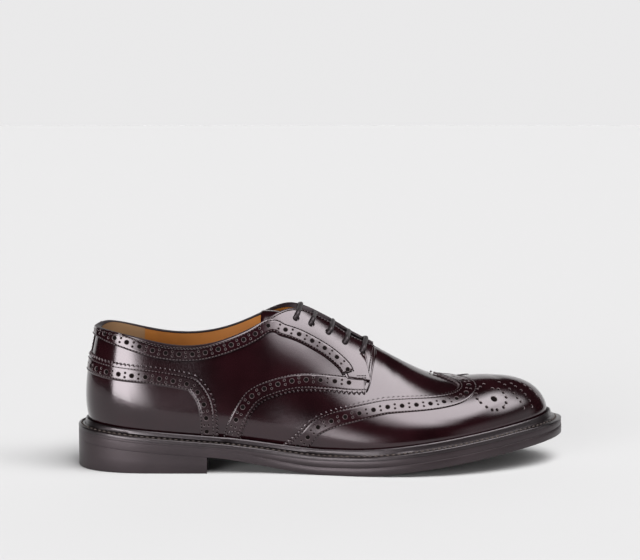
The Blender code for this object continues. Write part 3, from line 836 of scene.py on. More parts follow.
# u, slant, depth
CREASES = [(0.596, 0.10, 0.05 * MM), (0.622, 0.07, 0.06 * MM), (0.650, 0.12, 0.04 * MM)]
CREASE_WIDTH = 0.006  # as a share of u


def creased(column, row, uv):
    """How far the flex creases sink below the smooth leather."""
    u, v = uv.T
    depth = 0.0
    for at, slant, deep in CREASES:
        away = (u - at - slant * (v - 0.6) ** 2) / CREASE_WIDTH
        depth += deep * np.exp(-away ** 2) * smooth((v - 0.25) / 0.3) * smooth((1.05 - v) / 0.3)
    return -depth


vamp = bmesh.new()
net = plain_net(lambda s, t: stretch(0.30, 0.80, s), lambda s, t: t, columns=150, rows=44)
for side in (-1, 1):
    lay(vamp, net, side, creased)
weld(vamp)
outwards(vamp)
finish_piece("vamp", vamp, [calf], ["upper"])

# %% [markdown]
# ## A punched band
#
# Broguing runs along the edges of the wing, the quarters, the counter and the stays. Each
# band is the same thing: an edge pinked into small teeth, one large hole after another, and a
# pair of small ones between each two. So one function makes them all. The holes sit at every
# 18th column of the band's net, and the teeth take 6 columns each. Each seam lies in a
# shallow groove, as wide as two rows of the net.

# %% Broguing
PITCH = 18
ROW = 0.5 * MM
LARGE = 1.32 * MM
SMALL = 0.58 * MM
PAIR = 1.32 * MM
TOOTH = 1.9 * MM
GROOVE = 0.09 * MM
SHADE_GAP = 0.05 * MM  # how far the dark sheet of painted shade under the holes stands off the layer below
SEWN = 0.03 * MM

stitches = bmesh.new()
# Dark sheets under the holes: painted shade where the holes would show the layer beneath.
shade = bmesh.new()


def brogue(work, net, side, tops, spacing, first, hole_row, ends, seams, pinked=True, start=0.0):
    """A band of broguing on a net that runs inwards from the edge, with seams and a dark sheet of
    painted shade under its holes.
    """
    low, high = tops
    rows, count = net.shape[0] - 1, net.shape[1] - 1
    cell = spacing / PITCH
    apart = PAIR / ROW
    holes = []
    for number, place in enumerate(range(round(first / cell) % PITCH, count, PITCH // 2)):
        room = ends[0] <= place * cell <= count * cell - ends[1]
        if room and net[hole_row, place, 1] < 0.985:
            if number % 2 == 0:
                holes.append(((place, hole_row), LARGE))
            else:
                holes += [((place, hole_row + way), SMALL) for way in (-apart, apart)]

    def relief(column, row, uv):
        height = np.full(len(row), high)
        free = 1.0 if pinked else smooth((0.975 - uv[:, 1]) / 0.02)
        for seam in seams:
            height -= GROOVE * free * np.clip(1.0 - np.abs(row - seam), 0.0, 1.0)
        height -= (high - low + SHADE_GAP) * free * smooth((row - rows + 2.6) / 2.6)
        if not pinked:
            height -= 0.9 * MM * np.clip(1.0 - row / 2.2, 0.0, 1.0) ** 2
            height -= 1.1 * MM * np.clip(1.0 - (count - column) / 3.0, 0.0, 1.0) ** 2
        return height

    lay(work, net, side, relief, holes, TOOTH / ROW if pinked else None)
    # A dark sheet under the row of holes, painted shade.
    under = net[[hole_row - 4, hole_row, hole_row + 4], ::3]
    under[..., 1] = np.clip(under[..., 1], TURN_UNDER, 0.995)
    lay(shade, under, side, low + SHADE_GAP)
    for row in seams:
        sewn = between(net, np.linspace(0.0, count, 1200), row)
        sew_uv(sewn, side, high + SEWN, start=start)


def band_net(line, hint, width, spacing, lift, hole_row=14):
    """One net for both sides. Its columns are evenly spaced along the row of holes."""
    path = walk(line, lift, spacing / PITCH)
    net = lay_in(path, hint, width, int(round(width / ROW)))
    place = skin(*inside_net(net[hole_row]).T, -1, lift)
    gone = np.maximum(np.linalg.norm(np.diff(place, axis=0), axis=1), 0.05 * MM)
    run = np.concatenate([[0.0], np.cumsum(gone)])
    at = np.interp(np.arange(0.0, run[-1], spacing / PITCH), run, np.arange(len(run)))
    net = np.stack([between(net, at, row) for row in range(len(net))])
    return net[:, net[:, :, 1].min(axis=0) <= 1.0]


# %% Sewing
def blob(work, place, turned, sizes):
    """Adds a small ellipsoid and returns its corners."""
    matrix = Matrix.Translation(place) @ turned @ Matrix.Diagonal((*sizes, 1.0))
    return bmesh.ops.create_icosphere(work, subdivisions=1, radius=1.0, matrix=matrix)["verts"]


def sew_line(work, path, upward, length=1.25 * MM, gap=0.75 * MM, thick=0.34 * MM, start=0.0):
    """Stitches along a path, each a small capsule with a flat dark disc beside it, painted shade for
    its needle hole.
    """
    run = length_of(path)

    def find(values, at):
        return Vector([np.interp(at, run, values[:, k]) for k in range(3)])

    for middle in np.arange(start + length, run[-1] - length / 2, length + gap):
        a, b = find(path, middle - length / 2), find(path, middle + length / 2)
        up = find(upward, middle).normalized()
        along = (b - a).normalized()
        across = up.cross(along).normalized()
        turned = Matrix((along, across, along.cross(across))).transposed().to_4x4()
        blob(work, (a + b) / 2, turned, (length / 2 + 0.1 * MM, thick, thick))
        # The needle hole is a flat dark disc: painted shade.
        hole = blob(work, b + along * gap / 2 + up * 0.02 * MM, turned,
                    (0.42 * MM, 0.42 * MM, 0.12 * MM))
        for face in {face for corner in hole for face in corner.link_faces}:
            face.material_index = 1


def sew_uv(uv, side, lift, **sizes):
    uv = uv[(uv[:, 1] > -0.02) & (uv[:, 1] < 0.995)]
    u, v = np.clip(uv[:, 0], 0.0, 1.0), uv[:, 1]
    low = shared(u, v, side, lift)
    sew_line(stitches, low, shared(u, v, side, lift + MM) - low, **sizes)


def flip(rows):
    return [(u, v) for v, u in rows]


# %% Bands of the wing and the quarters
# how far a piece and its band stand off the last, in the lower layer and in the upper one
LOW = (1.10 * MM, 1.50 * MM)
HIGH = (2.40 * MM, 2.80 * MM)
FOLD, HIGH_FOLD = 0.85 * MM, 0.95 * MM  # how far their open edges are folded down
WING_SPACING, WING_FIRST = 8.89 * MM, 20.8 * MM
QUARTER_SPACING, QUARTER_FIRST = 8.78 * MM, 21.5 * MM

wing = bmesh.new()
quarter = bmesh.new()
wing_line = [(0.398, -0.060)] + flip(WING) + [(0.655, 1.060)]
quarter_line = [(0.3435, -0.060)] + flip(QUARTER[:10])
wing_band = band_net(wing_line, (1.0, -0.5), width=12.0 * MM, spacing=WING_SPACING, lift=LOW[1])
quarter_band = band_net(quarter_line, (-1.0, 1.0), width=11.5 * MM, spacing=QUARTER_SPACING,
                        lift=LOW[1])
for side in (-1, 1):
    brogue(wing, wing_band, side, LOW, WING_SPACING, WING_FIRST, hole_row=14,
           ends=(3 * MM, 0.0), seams=(5, 22))
    brogue(quarter, quarter_band, side, LOW, QUARTER_SPACING, QUARTER_FIRST, hole_row=14,
           ends=(3 * MM, 8 * MM), seams=(5, 21))
print("Bands:", wing_band.shape, quarter_band.shape)

# %% [markdown]
# ## Wing, with the medallion
#
# The toe carries a medallion: a large hole, a ring of small ones round it, and loose arcs
# beyond. The net of the toe is therefore finer where the medallion sits. The sheet stops
# under the band, 2.5 mm from its edge, so the teeth stand free.

# %% Medallion
HOLE_C = (0.8144, 0.475)
RING = [
    (0.7851, 0.444), (0.7944, 0.388), (0.8058, 0.336), (0.8179, 0.323), (0.8312, 0.343),
    (0.8408, 0.403), (0.8451, 0.477), (0.8431, 0.558), (0.8346, 0.621), (0.8186, 0.635),
    (0.7782, 0.506),
]
ARCS = [
    (0.7779, 0.581), (0.7833, 0.643), (0.7919, 0.689), (0.8029, 0.729), (0.8518, 0.752),
    (0.8624, 0.690), (0.8667, 0.601), (0.8709, 0.515), (0.8743, 0.444), (0.8785, 0.369),
    (0.8803, 0.278), (0.8902, 0.689), (0.8934, 0.619), (0.8993, 0.535), (0.9014, 0.454),
    (0.9030, 0.356), (0.9032, 0.267), (0.9313, 0.662), (0.9328, 0.584), (0.9357, 0.495),
    (0.9431, 0.403), (0.9502, 0.325),
]


def nearest(net, side, spots):
    """The net's corners, as column and row, that lie closest to some (u, v) spots."""
    flat = net.reshape(-1, 2)
    place = shared(flat[:, 0], np.clip(flat[:, 1], 0.0, 1.0), side, 0.0)
    spots = np.array(spots)
    wanted = shared(spots[:, 0], spots[:, 1], side, 0.0)
    found = [int(np.argmin(((place - spot) ** 2).sum(1))) for spot in wanted]
    return [(i % net.shape[1], i // net.shape[1]) for i in found]


def u_at(line, v):
    """u on a line of (u, v), found by v."""
    order = np.argsort(line[:, 1])
    return np.interp(v, line[order, 1], line[order, 0])


def uneven(*parts):
    """Shares in stretches of their own fineness: each part is start, end and steps."""
    runs = [np.linspace(start, end, steps, endpoint=False) for start, end, steps in parts]
    return np.append(np.concatenate(runs), parts[-1][1])


def wing_net():
    s, v = np.meshgrid(uneven((0.0, 1.0, 65), (1.0, 2.0, 90), (2.0, 3.0, 12)),
                       uneven((-0.03, 0.25, 15), (0.25, 0.80, 58), (0.80, 1.0, 14)))
    start = u_at(wing_band[5], v)
    u = np.where(s < 1.0, stretch(start, 0.765, s),
                 np.where(s < 2.0, stretch(0.765, 0.96, s - 1.0), stretch(0.96, 1.0, s - 2.0)))
    return np.stack([u, v], -1)


net = wing_net()
sizes = [1.9 * MM] + [0.85 * MM] * len(RING) + [0.70 * MM] * len(ARCS)
under = plain_net(lambda s, t: stretch(0.768, 0.960, s), lambda s, t: stretch(0.24, 0.78, t),
                  columns=40, rows=30)
for side in (-1, 1):
    spots = nearest(net, side, [HOLE_C] + RING + ARCS)
    lay(wing, net, side, LOW[0], list(zip(spots, sizes)))
    # A dark sheet of painted shade under the medallion's holes.
    lay(shade, under, side, LOW[0] - 0.5 * MM)
close_leather(wing, FOLD)
finish_piece("wing_cap_leather", wing, [calf, cut_edge_and_highlight], ["wing_cap"])

# %% [markdown]
# ## Quarters, counter and stays
#
# The quarters wrap the back of the foot. The counter and the stays lie on top of them, one
# leather higher. The counter is pinked, and the stays have a turned edge.

# %% Quarters
def tube(work, path, radius, sides):
    """A round cord along a path, thinner towards its closed ends."""
    count = len(path)
    run = unit(np.gradient(path, axis=0))
    wide = unit(np.cross(run, (0.3, 0.9, 0.3)))
    tall = np.cross(wide, run)
    to_end = np.minimum(np.arange(count), np.arange(count)[::-1])
    radius = radius * np.sqrt(np.clip(to_end / 1.5, 0.05, 1.0))[:, None]
    turns = np.linspace(0.0, 2.0 * math.pi, sides + 1)
    corners = sheet(work, [path + radius * (wide * math.cos(turn) + tall * math.sin(turn))
                           for turn in turns])
    bmesh.ops.remove_doubles(work, verts=corners, dist=2e-6)
    kept = [corner for corner in corners if corner.is_valid]
    ends = [e for e in {e for c in kept for e in c.link_edges} if e.is_boundary]
    caps = bmesh.ops.holes_fill(work, edges=ends, sides=0)["faces"]
    faces = list({face for corner in kept for face in corner.link_faces} | set(caps))
    bmesh.ops.recalc_face_normals(work, faces=faces)


quarter_edge = quarter_band[5][quarter_band[5][:, 1] < 0.53]
quarter_edge = np.vstack([quarter_edge, flip(QUARTER[11:])])
net = plain_net(lambda s, t: s * u_at(quarter_edge, stretch(TURN_UNDER, 0.955, t)),
                lambda s, t: stretch(TURN_UNDER, 1.0, t), columns=90, rows=50)
net[..., 1] = np.minimum(net[..., 1], table(FACING, net[..., 0]))
for side in (-1, 1):
    lay(quarter, net, side, LOW[0])
close_leather(quarter, FOLD)
v = np.linspace(0.515, 0.905, 60)
for side in (-1, 1):
    path = shared(through(QUARTER[9:], v) + 0.0008, v, side, 0.95 * MM)
    tube(quarter, path, radius=0.55 * MM, sides=8)
finish_piece("quarter_leather", quarter, [calf, cut_edge_and_highlight], ["quarter_lateral", "quarter_medial"])

# %% Counter
def net_between(first, second, rows):
    """A net whose rows lead evenly from one line of (u, v) to another."""
    return np.stack([stretch(first, second, t) for t in np.linspace(0.0, 1.0, rows + 1)])


COUNTER_SPACING, COUNTER_FIRST = 8.5 * MM, 13.3 * MM

counter = bmesh.new()
counter_band = band_net(COUNTER + [(0.3105, -0.060)], (-0.5, -1.0), width=11.5 * MM,
                        spacing=COUNTER_SPACING, lift=HIGH[1])
top = counter_band[6, ::4]
foot = np.column_stack([np.linspace(0.0, 0.303, len(top)), np.full(len(top), TURN_UNDER)])
base = net_between(foot, inside_net(top), 30)
for side in (-1, 1):
    brogue(counter, counter_band, side, HIGH, COUNTER_SPACING, COUNTER_FIRST, hole_row=14,
           ends=(4 * MM, 3 * MM), seams=(6, 20), start=2 * MM)
    lay(counter, base, side, HIGH[0])
close_leather(counter, HIGH_FOLD)
finish_piece("counter_leather", counter, [calf, cut_edge_and_highlight], ["counter"])

# %% Stays with their eyelets
STAY_SPACING, STAY_FIRST = 8.6 * MM, 12.4 * MM
FRONT_SEAM = [(0.5700, 0.64), (0.5790, 0.90)]
CROSS_SEAMS = [[(0.546, 0.617), (0.568, 0.624)], [(0.546, 0.601), (0.568, 0.608)]]

stay = bmesh.new()
stay_band = band_net(EYESTAY, (0.0, 1.0), width=8.5 * MM, spacing=STAY_SPACING, lift=HIGH[1],
                     hole_row=0)
inner = np.clip(stay_band[4, ::2], 0.0, 1.0)
lower = np.vstack([inner, [(0.531, 0.586), (0.550, 0.588), (0.5725, 0.592)]])
run = np.linspace(0.0, 1.0, len(inner))
kink = float(np.interp(0.40, inner[:, 0], run))
upper_u = np.interp(run, [0.0, kink, 1.0], [0.0, 0.40, 0.579])
upper = np.column_stack([upper_u, table(FACING, upper_u)])
upper = np.vstack([upper, [(0.5830, 0.905), (0.582, 0.80), (0.5735, 0.63)]])
base = net_between(lower, upper, 32)


def turned_edge(column, row, uv):
    """The stay's own leather, bent down along its free lower end and its front."""
    low_end = smooth((column - len(inner) + 2.0) / 1.5) * np.clip(1.0 - row / 2.0, 0.0, 1.0) ** 2
    front = np.clip((uv[:, 0] - 0.5815) / 0.004, 0.0, 1.0) ** 2
    return HIGH[0] - HIGH_FOLD * low_end - 0.45 * MM * front


for side in (-1, 1):
    brogue(stay, stay_band, side, HIGH, STAY_SPACING, STAY_FIRST, hole_row=9,
           ends=(4 * MM, 0.0), seams=(2, 15), pinked=False, start=2 * MM)
    lay(stay, base, side, turned_edge, [(spot, 1.9 * MM) for spot in nearest(base, side, EYELETS)])
    for start, end in CROSS_SEAMS + [FRONT_SEAM]:
        sew_uv(np.linspace(start, end, 40), side, HIGH[0] + 0.02 * MM)
close_leather(stay, HIGH_FOLD)
finish_piece("eyestay_leather", stay, [calf, cut_edge_and_highlight], ["eyestay_lateral", "eyestay_medial"])
# All dark sheets of painted shade under the holes, as one object.
outwards(shade)
finish_piece("hole_shade_sheet", shade, [hole_shade_finish])

# %% [markdown]
# ## Back strip and top edge
#
# A narrow strip covers the seam at the back of the heel. The top edge is turned: the outer
# leather is folded over the lining, which gives a soft round bead along the collar and down
# both facings. The bead is one section swept along that edge.

# %% Back strip
strip = bmesh.new()
net = plain_net(lambda s, t: s * stretch(0.017, 0.021, t), lambda s, t: stretch(0.742, 1.0, t),
                columns=8, rows=40)
for side in (-1, 1):
    lay(strip, net, side, lambda column, row, uv: 1.8 * MM - 0.5 * MM * (column / 8.0) ** 4)
    sew_uv(net[:, 6], side, 1.70 * MM)
close_leather(strip, 0.5 * MM)
finish_piece("back_strip", strip, [calf, cut_edge_and_highlight])


# %% Top edge
def lining_depth(u):
    """The shell is thinner where the quarters double it."""
    return WALL * stretch(0.70, 1.0, smooth((np.asarray(u, float) - 0.50) / 0.15))


def top_edge(u, side, lift, rise):
    """A place by the top edge: out by lift, and up along the leather by rise."""
    v = table(FACING, u)
    places = [skin(u, v, own, lift) + unit(last(u, v, own) - last(u, v - 0.03, own)) * rise
              for own in (side, -side)]
    place = np.where((u < 1e-6)[:, None], 0.5 * (places[0] + places[1]), places[0])
    place[:, 1] -= MIDDLE
    return place


# out and up in millimetres, but an out below zero is a share of the lining's depth
BEAD = [
    (2.30, -0.60), (2.48, -0.25), (2.44, 0.02), (2.20, 0.20), (1.70, 0.30), (1.00, 0.34),
    (0.10, 0.30), (-0.65, 0.18), (-1.0, 0.0), (-1.0, -0.3),
]


def bead_row(u, side, out, up):
    lift = out * MM if out > 0.0 else out * (lining_depth(u) + 0.15 * MM)
    return top_edge(u, side, lift, up * MM)


bead = bmesh.new()
along = uneven((0.0, 0.50, 140), (0.50, 0.582, 40))
seam_u = uneven((0.0, 0.50, 399), (0.50, 0.58, 399))
for side in (-1, 1):
    sheet(bead, [bead_row(along, side, out, up) for out, up in BEAD])
    low = top_edge(seam_u, side, 2.68 * MM, -1.5 * MM)
    sew_line(stitches, low, top_edge(seam_u, side, 3.68 * MM, -1.5 * MM) - low)
weld(bead)
facing_out(bead)
finish_piece("top_edge", bead, [collar_edge])
facing_out(stitches)
finish_piece("upper_stitches", stitches, [thread, hole_shade_finish], smooth_angle=180.0)

# %% [markdown]
# ## Lining, heel grip and sock
#
# Inside, the shoe is lined with undyed calf in a warm tan. The last third towards the heel is
# a suede grip. The sock is a thin leather on the insole. These sheets face inwards, so their
# faces are turned once they are laid.

# %% Lining
def line_with(name, start, end, lift, finish, columns):
    work = bmesh.new()
    net = plain_net(lambda s, t: stretch(start, end, s), lambda s, t: t, columns, 44)
    open_part = net[..., 0] < CLOSED
    net[..., 1] = np.where(open_part, np.minimum(net[..., 1], table(FACING, net[..., 0])), net[..., 1])
    depth = -(lining_depth(net[..., 0]) + lift).ravel()
    for side in (-1, 1):
        lay(work, net, side, depth)
    weld(work)
    outwards(work)
    bmesh.ops.reverse_faces(work, faces=work.faces)
    finish_piece(name, work, [finish])


line_with("quarter_lining", start=0.150, end=1.0, lift=0.10 * MM, finish=tan, columns=150)
line_with("heel_grip", start=0.0, end=0.165, lift=0.45 * MM, finish=suede, columns=50)

# %% Sock
sock = bmesh.new()
u, w = np.meshgrid(np.linspace(0.0, 1.0, 91), np.linspace(0.0, 1.0, 17))
flat = stretch(feather(u, -1), feather(u, 1), stretch(0.035, 0.965, w)[..., None])
height = bed(flat[..., 0]) + INSOLE + CLEAR + 1.2 * MM * (2.0 * w - 1.0) ** 6
sheet(sock, np.stack([flat[..., 0], flat[..., 1] - MIDDLE, height], -1))
weld(sock)
facing_out(sock)
if sum(face.normal.z for face in sock.faces) < 0.0:
    bmesh.ops.reverse_faces(sock, faces=sock.faces)
finish_piece("sock", sock, [tan], ["insole"])

# %% [markdown]
# ## Tongue
#
# The tongue is a bowed plate under the facings. It has a real thickness and a rounded top end
# that stands a little above the collar.

# %% Tongue
TONGUE = 1.7 * MM
TONGUE_GAP = 1.2 * MM
TONGUE_END = 0.382


def tongue_row(u, share, side, depth):
    """Places across one side of the tongue, from its middle out."""
    top = through(TONGUE_TOP, u) * TOP - depth
    lift = -(float(lining_depth(u)) + TONGUE_GAP + depth)
    shell = skin(np.full(40, u), np.linspace(1.0, 0.55, 40), side, lift)
    centre = ridge(shell[0, 0])
    end = skin(u, 0.70 - 0.10 * float(smooth((u - 0.50) / 0.10)), side, lift)
    y = stretch(centre, end[1], share)
    bowed = top - (top - end[2]) * share ** 2.0
    open_top = 1.0 if u < 0.55 else shell[0, 2]
    under = np.interp(np.abs(y - centre), np.abs(shell[:, 1] - centre), shell[:, 2], left=open_top)
    return np.column_stack([np.full(len(share), end[0]), y - MIDDLE, np.minimum(bowed, under)])


tongue = bmesh.new()
along = uneven((TONGUE_END, 0.394, 6), (0.394, 0.64, 53))
share = np.linspace(0.0, 1.0, 15)
rounding = np.clip(1.0 - (along - TONGUE_END) / 0.006, 0.0, 1.0)
slimmer = TONGUE / 2 * (1.0 - np.sqrt(1.0 - rounding ** 2))
rows = []
for u, slim in zip(along, slimmer):
    over, under = [[tongue_row(u, share, side, depth) for side in (-1, 1)]
                   for depth in (slim, TONGUE - slim)]
    rows.append(np.vstack([over[0][::-1], over[1][1:], under[1][::-1], under[0][1:]]))
corners = sheet(tongue, np.swapaxes(rows, 0, 1))
edges_of = [set(corners[:len(along)]), set(corners[-len(along):])]
bridge = [e for e in tongue.edges if e.is_boundary and any(set(e.verts) <= row for row in edges_of)]
bmesh.ops.bridge_loops(tongue, edges=bridge)
weld(tongue)
bmesh.ops.holes_fill(tongue, edges=tongue.edges, sides=0)
facing_out(tongue)
finish_piece("tongue_leather", tongue, [calf], ["tongue"])

# %% [markdown]
# ## Lace
#
# A waxed round cord, laced in straight bars. Each bar comes up through one eyelet, crosses
# the tongue and dives into the opposite one. Under the facings the cord is pressed flat and
# runs on to the next eyelet. Both ends stop under the top eyelets. The tube is one grid: its
# columns follow the cord and its rows go round it.

# %% Path of the lace
LACE_TOP = 2.60 * MM
BAR_RISE = (-0.7 * MM, 0.8 * MM)


def lace_bar(u, v, start):
    """Knots of one bar, each x, y, z, how flat the cord is and how wide it swells."""
    halves = []
    for side in (start, -start):
        steps = [
            (v, -(float(lining_depth(u)) + 0.55 * MM), 0.35, 0.0), (v - 0.003, 1.0 * MM, 0.95, 0.6),
            (v + 0.010, LACE_TOP + 0.75 * MM, 1.0, 1.0), (v + 0.030, LACE_TOP + 1.25 * MM, 1.0, 0.3),
        ]
        half = []
        for a, lift, flat, swell in steps:
            ahead = 0.0085 * max(0.0, a - v) / (1.0 - v)
            half.append((*skin(u + ahead, min(a, 1.0), side, lift), flat, swell))
        halves.append(np.array(half))
    over = skin(u + 0.0085, 1.0, start, LACE_TOP + BAR_RISE[u < 0.45])
    ends = np.array([half[-1] for half in halves])
    middle = np.array([over[0], ends[:, 1].mean(), over[2], 1.0, 0.0])
    lifted = stretch(ends, middle, 0.5)
    lifted[:, 2] = stretch(lifted[:, 2], middle[2], 0.25)
    return np.vstack([halves[0], lifted[0], middle, lifted[1], halves[1][::-1]])


def lace_under(first, second, side, out=0.0):
    """Flat knots under a facing, from one eyelet to another."""
    knots = []
    for t in (0.2, 0.5, 0.8):
        u = stretch(first[0], second[0], t)
        v = stretch(first[1], second[1], t) - out * math.sin(math.pi * t)
        knots.append((*skin(u, v, side, -(float(lining_depth(u)) + 0.62 * MM)), 0.30, 0.0))
    return np.array(knots)


cord = [lace_under(EYELETS[0], EYELETS[4], 1, out=0.07)]
side = 1
for number in (4, 3, 2, 1, 0):
    cord.append(lace_bar(*EYELETS[number], side))
    side = -side
    if number:
        cord.append(lace_under(EYELETS[number], EYELETS[number - 1], side))
cord.append(lace_under(EYELETS[0], (EYELETS[0][0] + 0.010, EYELETS[0][1] - 0.05), side)[:1])
cord = np.vstack(cord)
cord[:, 1] -= MIDDLE
gone = np.maximum(0.8 * MM, np.linalg.norm(np.diff(cord[:, :3], axis=0), axis=1))
steps = np.concatenate([[0.0], np.cumsum(gone ** 0.5)])
fine = spline(steps, cord, np.linspace(0.0, steps[-1], 620))
print("Lace, visible and hidden, mm:", round(float(length_of(fine[:, :3])[-1]) / MM))

# %% Lace tube
LACE_RADIUS = 0.57 * LACE
LACE_SIDES = 10

middle, flat, swell = fine[:, :3], np.clip(fine[:, 3:4], 0.3, 1.0), np.clip(fine[:, 4:5], 0.0, 1.0)
run = unit(np.gradient(middle, axis=0))
wide = np.cross(run, (0.0, 0.0, 1.0))
known = np.nonzero(np.abs(run[:, 2]) <= 0.75)[0]
wide = np.column_stack([np.interp(np.arange(len(wide)), known, wide[known, k]) for k in range(3)])
wide = unit(wide - run * (wide * run).sum(1)[:, None])
tall = np.cross(wide, run)
spread = LACE_RADIUS * (1.25 - 0.25 * flat + 0.30 * swell)
height = LACE_RADIUS * (flat + 0.1 * swell)
lace = bmesh.new()
sheet(lace, [middle + wide * spread * math.cos(turn) + tall * height * math.sin(turn)
             for turn in np.linspace(0.0, 2.0 * math.pi, LACE_SIDES + 1)])
weld(lace)
bmesh.ops.holes_fill(lace, edges=lace.edges, sides=0)
facing_out(lace)
bars = ["lace_bar_%d" % number for number in range(1, 6)]
finish_piece("lace", lace, [waxed_cord], bars, smooth_angle=60.0)

# %% [markdown]
# ## Sole
#
# From the top down: a storm welt with a lip against the upper and a sewn groove, a midsole,
# an outsole and a stacked heel. Each is a set of rings that run round the shoe at a fixed
# inset from its outline. Rings are a better start than a block with bevelled edges, because
# every ring can follow the toe spring and the heel's pitch.

# %% Rings round the sole
def stations(count):
    """Shares of the outline, closer together at the heel's back and the toe."""
    even = np.linspace(0.0, 1.0, count + 1)
    return 0.5 * (0.5 - 0.5 * np.cos(math.pi * even) + even)


def ring_place(u, side, inset):
    """A point on the sole's outline, moved inwards."""
    line, inward = OUTLINE[side]
    place = [np.interp(u, SHARES, line[:, k]) + np.interp(u, SHARES, inward[:, k]) * inset
             for k in (0, 1)]
    return np.stack(place, -1)


def raised(flat, height):
    """Places in space from places on the floor."""
    return np.stack([flat[..., 0], flat[..., 1] - MIDDLE, np.broadcast_to(height, flat.shape[:-1])], -1)


def rings(section, height_of, count):
    """Half rings at pairs of inset and height, on both sides of the shoe."""
    work = bmesh.new()
    u = stations(count)
    for side in (-1, 1):
        flats = [(ring_place(u, side, inset), height) for inset, height in section(u, side)]
        sheet(work, [raised(flat, height_of(flat[:, 0], height)) for flat, height in flats])
    weld(work)
    return work


def across_fill(work, ends, height_of, front=-BACK, strips=12):
    """A sheet from the outer half of a ring to the inner one, cut straight at its front."""
    flat = np.stack([stretch(*ends, w) for w in np.linspace(0.0, 1.0, strips + 1)])
    flat = np.minimum(flat, (front, 1.0))
    sheet(work, raised(flat, height_of(flat[..., 0])))


def mark_underside(work, below):
    """Gives the second finish to the faces that look down."""
    for face in work.faces:
        if face.normal.z < -0.8 and face.calc_center_median().z < below:
            face.material_index = 1


# %% Storm welt
def toe_step(u):
    """How far the welt's rim stands back from the sole's edge round the toe."""
    return 2.4 * MM * smooth((u - 0.84) / 0.16)


def welt_section(u, side):
    """Pairs of inset and height over the welt's foot, from its underside round to the top."""
    c = profile(u)
    lean = c[:, 5 if side < 0 else 6] / c[:, 7]
    pieces = 1.4 * MM + 1.2 * MM * (1.0 - smooth((u - 0.315) / 0.02))
    face = np.interp(u, SHARES, margin(side)) - pieces - 0.4 * MM
    tip = face - 0.95 * LIP * lean
    crest = WELT + LIP
    toe = toe_step(u)
    low = 0.75 * toe
    return [
        (4.0 * MM, 0.0), (0.15 * MM, 0.0), (0.1 * toe, 0.15 * MM),
        (0.4 * toe, 1.5 * MM - 0.66 * low), (0.12 * MM + 0.8 * toe, 2.0 * MM - 0.92 * low),
        (0.40 * MM + 0.9 * toe, 2.35 * MM - low), (0.9 * MM + 0.9 * toe, 2.52 * MM - low),
        (1.4 * MM + 0.82 * toe, 2.50 * MM - 0.95 * low),
        (1.9 * MM + 0.77 * toe, 2.42 * MM - 0.8 * low),
        (2.5 * MM + 0.68 * toe, 2.42 * MM - 0.5 * low),
        (3.0 * MM + 0.6 * toe, 2.60 * MM - 0.25 * low),
        (np.maximum(3.3 * MM + 0.55 * toe, tip - 1.9 * MM), 2.75 * MM),
        (tip - 1.35 * MM, WELT + 0.3 * LIP),
        (tip - 1.1 * MM, crest - 0.9 * MM), (tip - 0.85 * MM, crest - 0.25 * MM),
        (tip - 0.5 * MM, crest), (tip - 0.15 * MM, crest - 0.15 * MM),
        (face - 0.5 * (face - tip), WELT + 0.5 * LIP), (face, 1.07 * WELT),
    ]


welt = rings(welt_section, lambda x, height: welt_foot(x) + height, 220)
facing_out(welt)
if max(welt.faces, key=lambda face: face.calc_center_median().x).normal.x < 0.0:
    bmesh.ops.reverse_faces(welt, faces=welt.faces)
finish_piece("storm_welt", welt, [welt_side], ["welt"])

welt_thread = bmesh.new()
u = np.linspace(0.0, 1.0, 1500)
for side in (-1, 1):
    flat = ring_place(u, side, 2.0 * MM + 0.7 * toe_step(u))
    path = raised(flat, welt_foot(flat[:, 0]) + 2.65 * MM - 0.64 * toe_step(u))
    up = np.tile((0.0, 0.0, MM), (len(u), 1))
    sew_line(welt_thread, path, up, length=2.6 * MM, gap=0.9 * MM, thick=0.58 * MM)
facing_out(welt_thread)
finish_piece("welt_stitches", welt_thread, [welt_yarn, hole_shade_finish], smooth_angle=180.0)


# %% Midsole and outsole
def sole_layer(name, top_of, bottom_of, step, round_off, nodes, under):
    """A layer with softly rounded edges, closed above and below."""
    inmost = step + 6.0 * MM

    def section(u, side):
        ahead = 0.12 + 0.88 * smooth((u - 0.34) / 0.12)
        back, soft = step * ahead, round_off * ahead
        return [
            (inmost, 1.0), (back + soft, 1.0), (back + 0.3 * soft, 0.99), (back, 0.96), (back, 0.5),
            (back, 0.04), (back + 0.3 * soft, 0.01), (back + soft, 0.0), (inmost, 0.0),
        ]

    work = rings(section, lambda x, share: stretch(bottom_of(x), top_of(x), share), 150)
    ends = [ring_place(stations(150), side, inmost) for side in (-1, 1)]
    for height_of in (bottom_of, top_of):
        across_fill(work, ends, height_of)
    weld(work, gap=5e-6)
    facing_out(work)
    mark_underside(work, below=30 * MM)
    finish_piece(name, work, [sole_side, under], nodes)


sole_layer("midsole_leather", welt_foot, over_outsole, step=0.25 * MM, round_off=0.2 * MM,
           nodes=["midsole"], under=sole_side)
sole_layer("outsole_leather", over_outsole, ground, step=0.0, round_off=0.35 * MM,
           nodes=["outsole"], under=sole_under)

# %% Heel
HEEL_FRONT = BACK + HEEL_LENGTH - 1.3 * MM
HEEL_SECTION = [(0.6 * MM, 1.0), (0.0, 1.0), (0.0, 0.6), (0.0, 0.04), (0.12 * MM, 0.015),
                (0.5 * MM, 0.0)]


def heel_ring(side, inset):
    """Half a ring, from the heel's back to its front."""
    stop = np.interp(HEEL_FRONT, OUTLINE[side][0][:, 0], SHARES)
    return ring_place((1.0 - np.cos(np.linspace(0.0, math.pi / 2, 61))) * stop, side, inset)


def heel_height(x):
    return ground(x) - 0.1 * MM


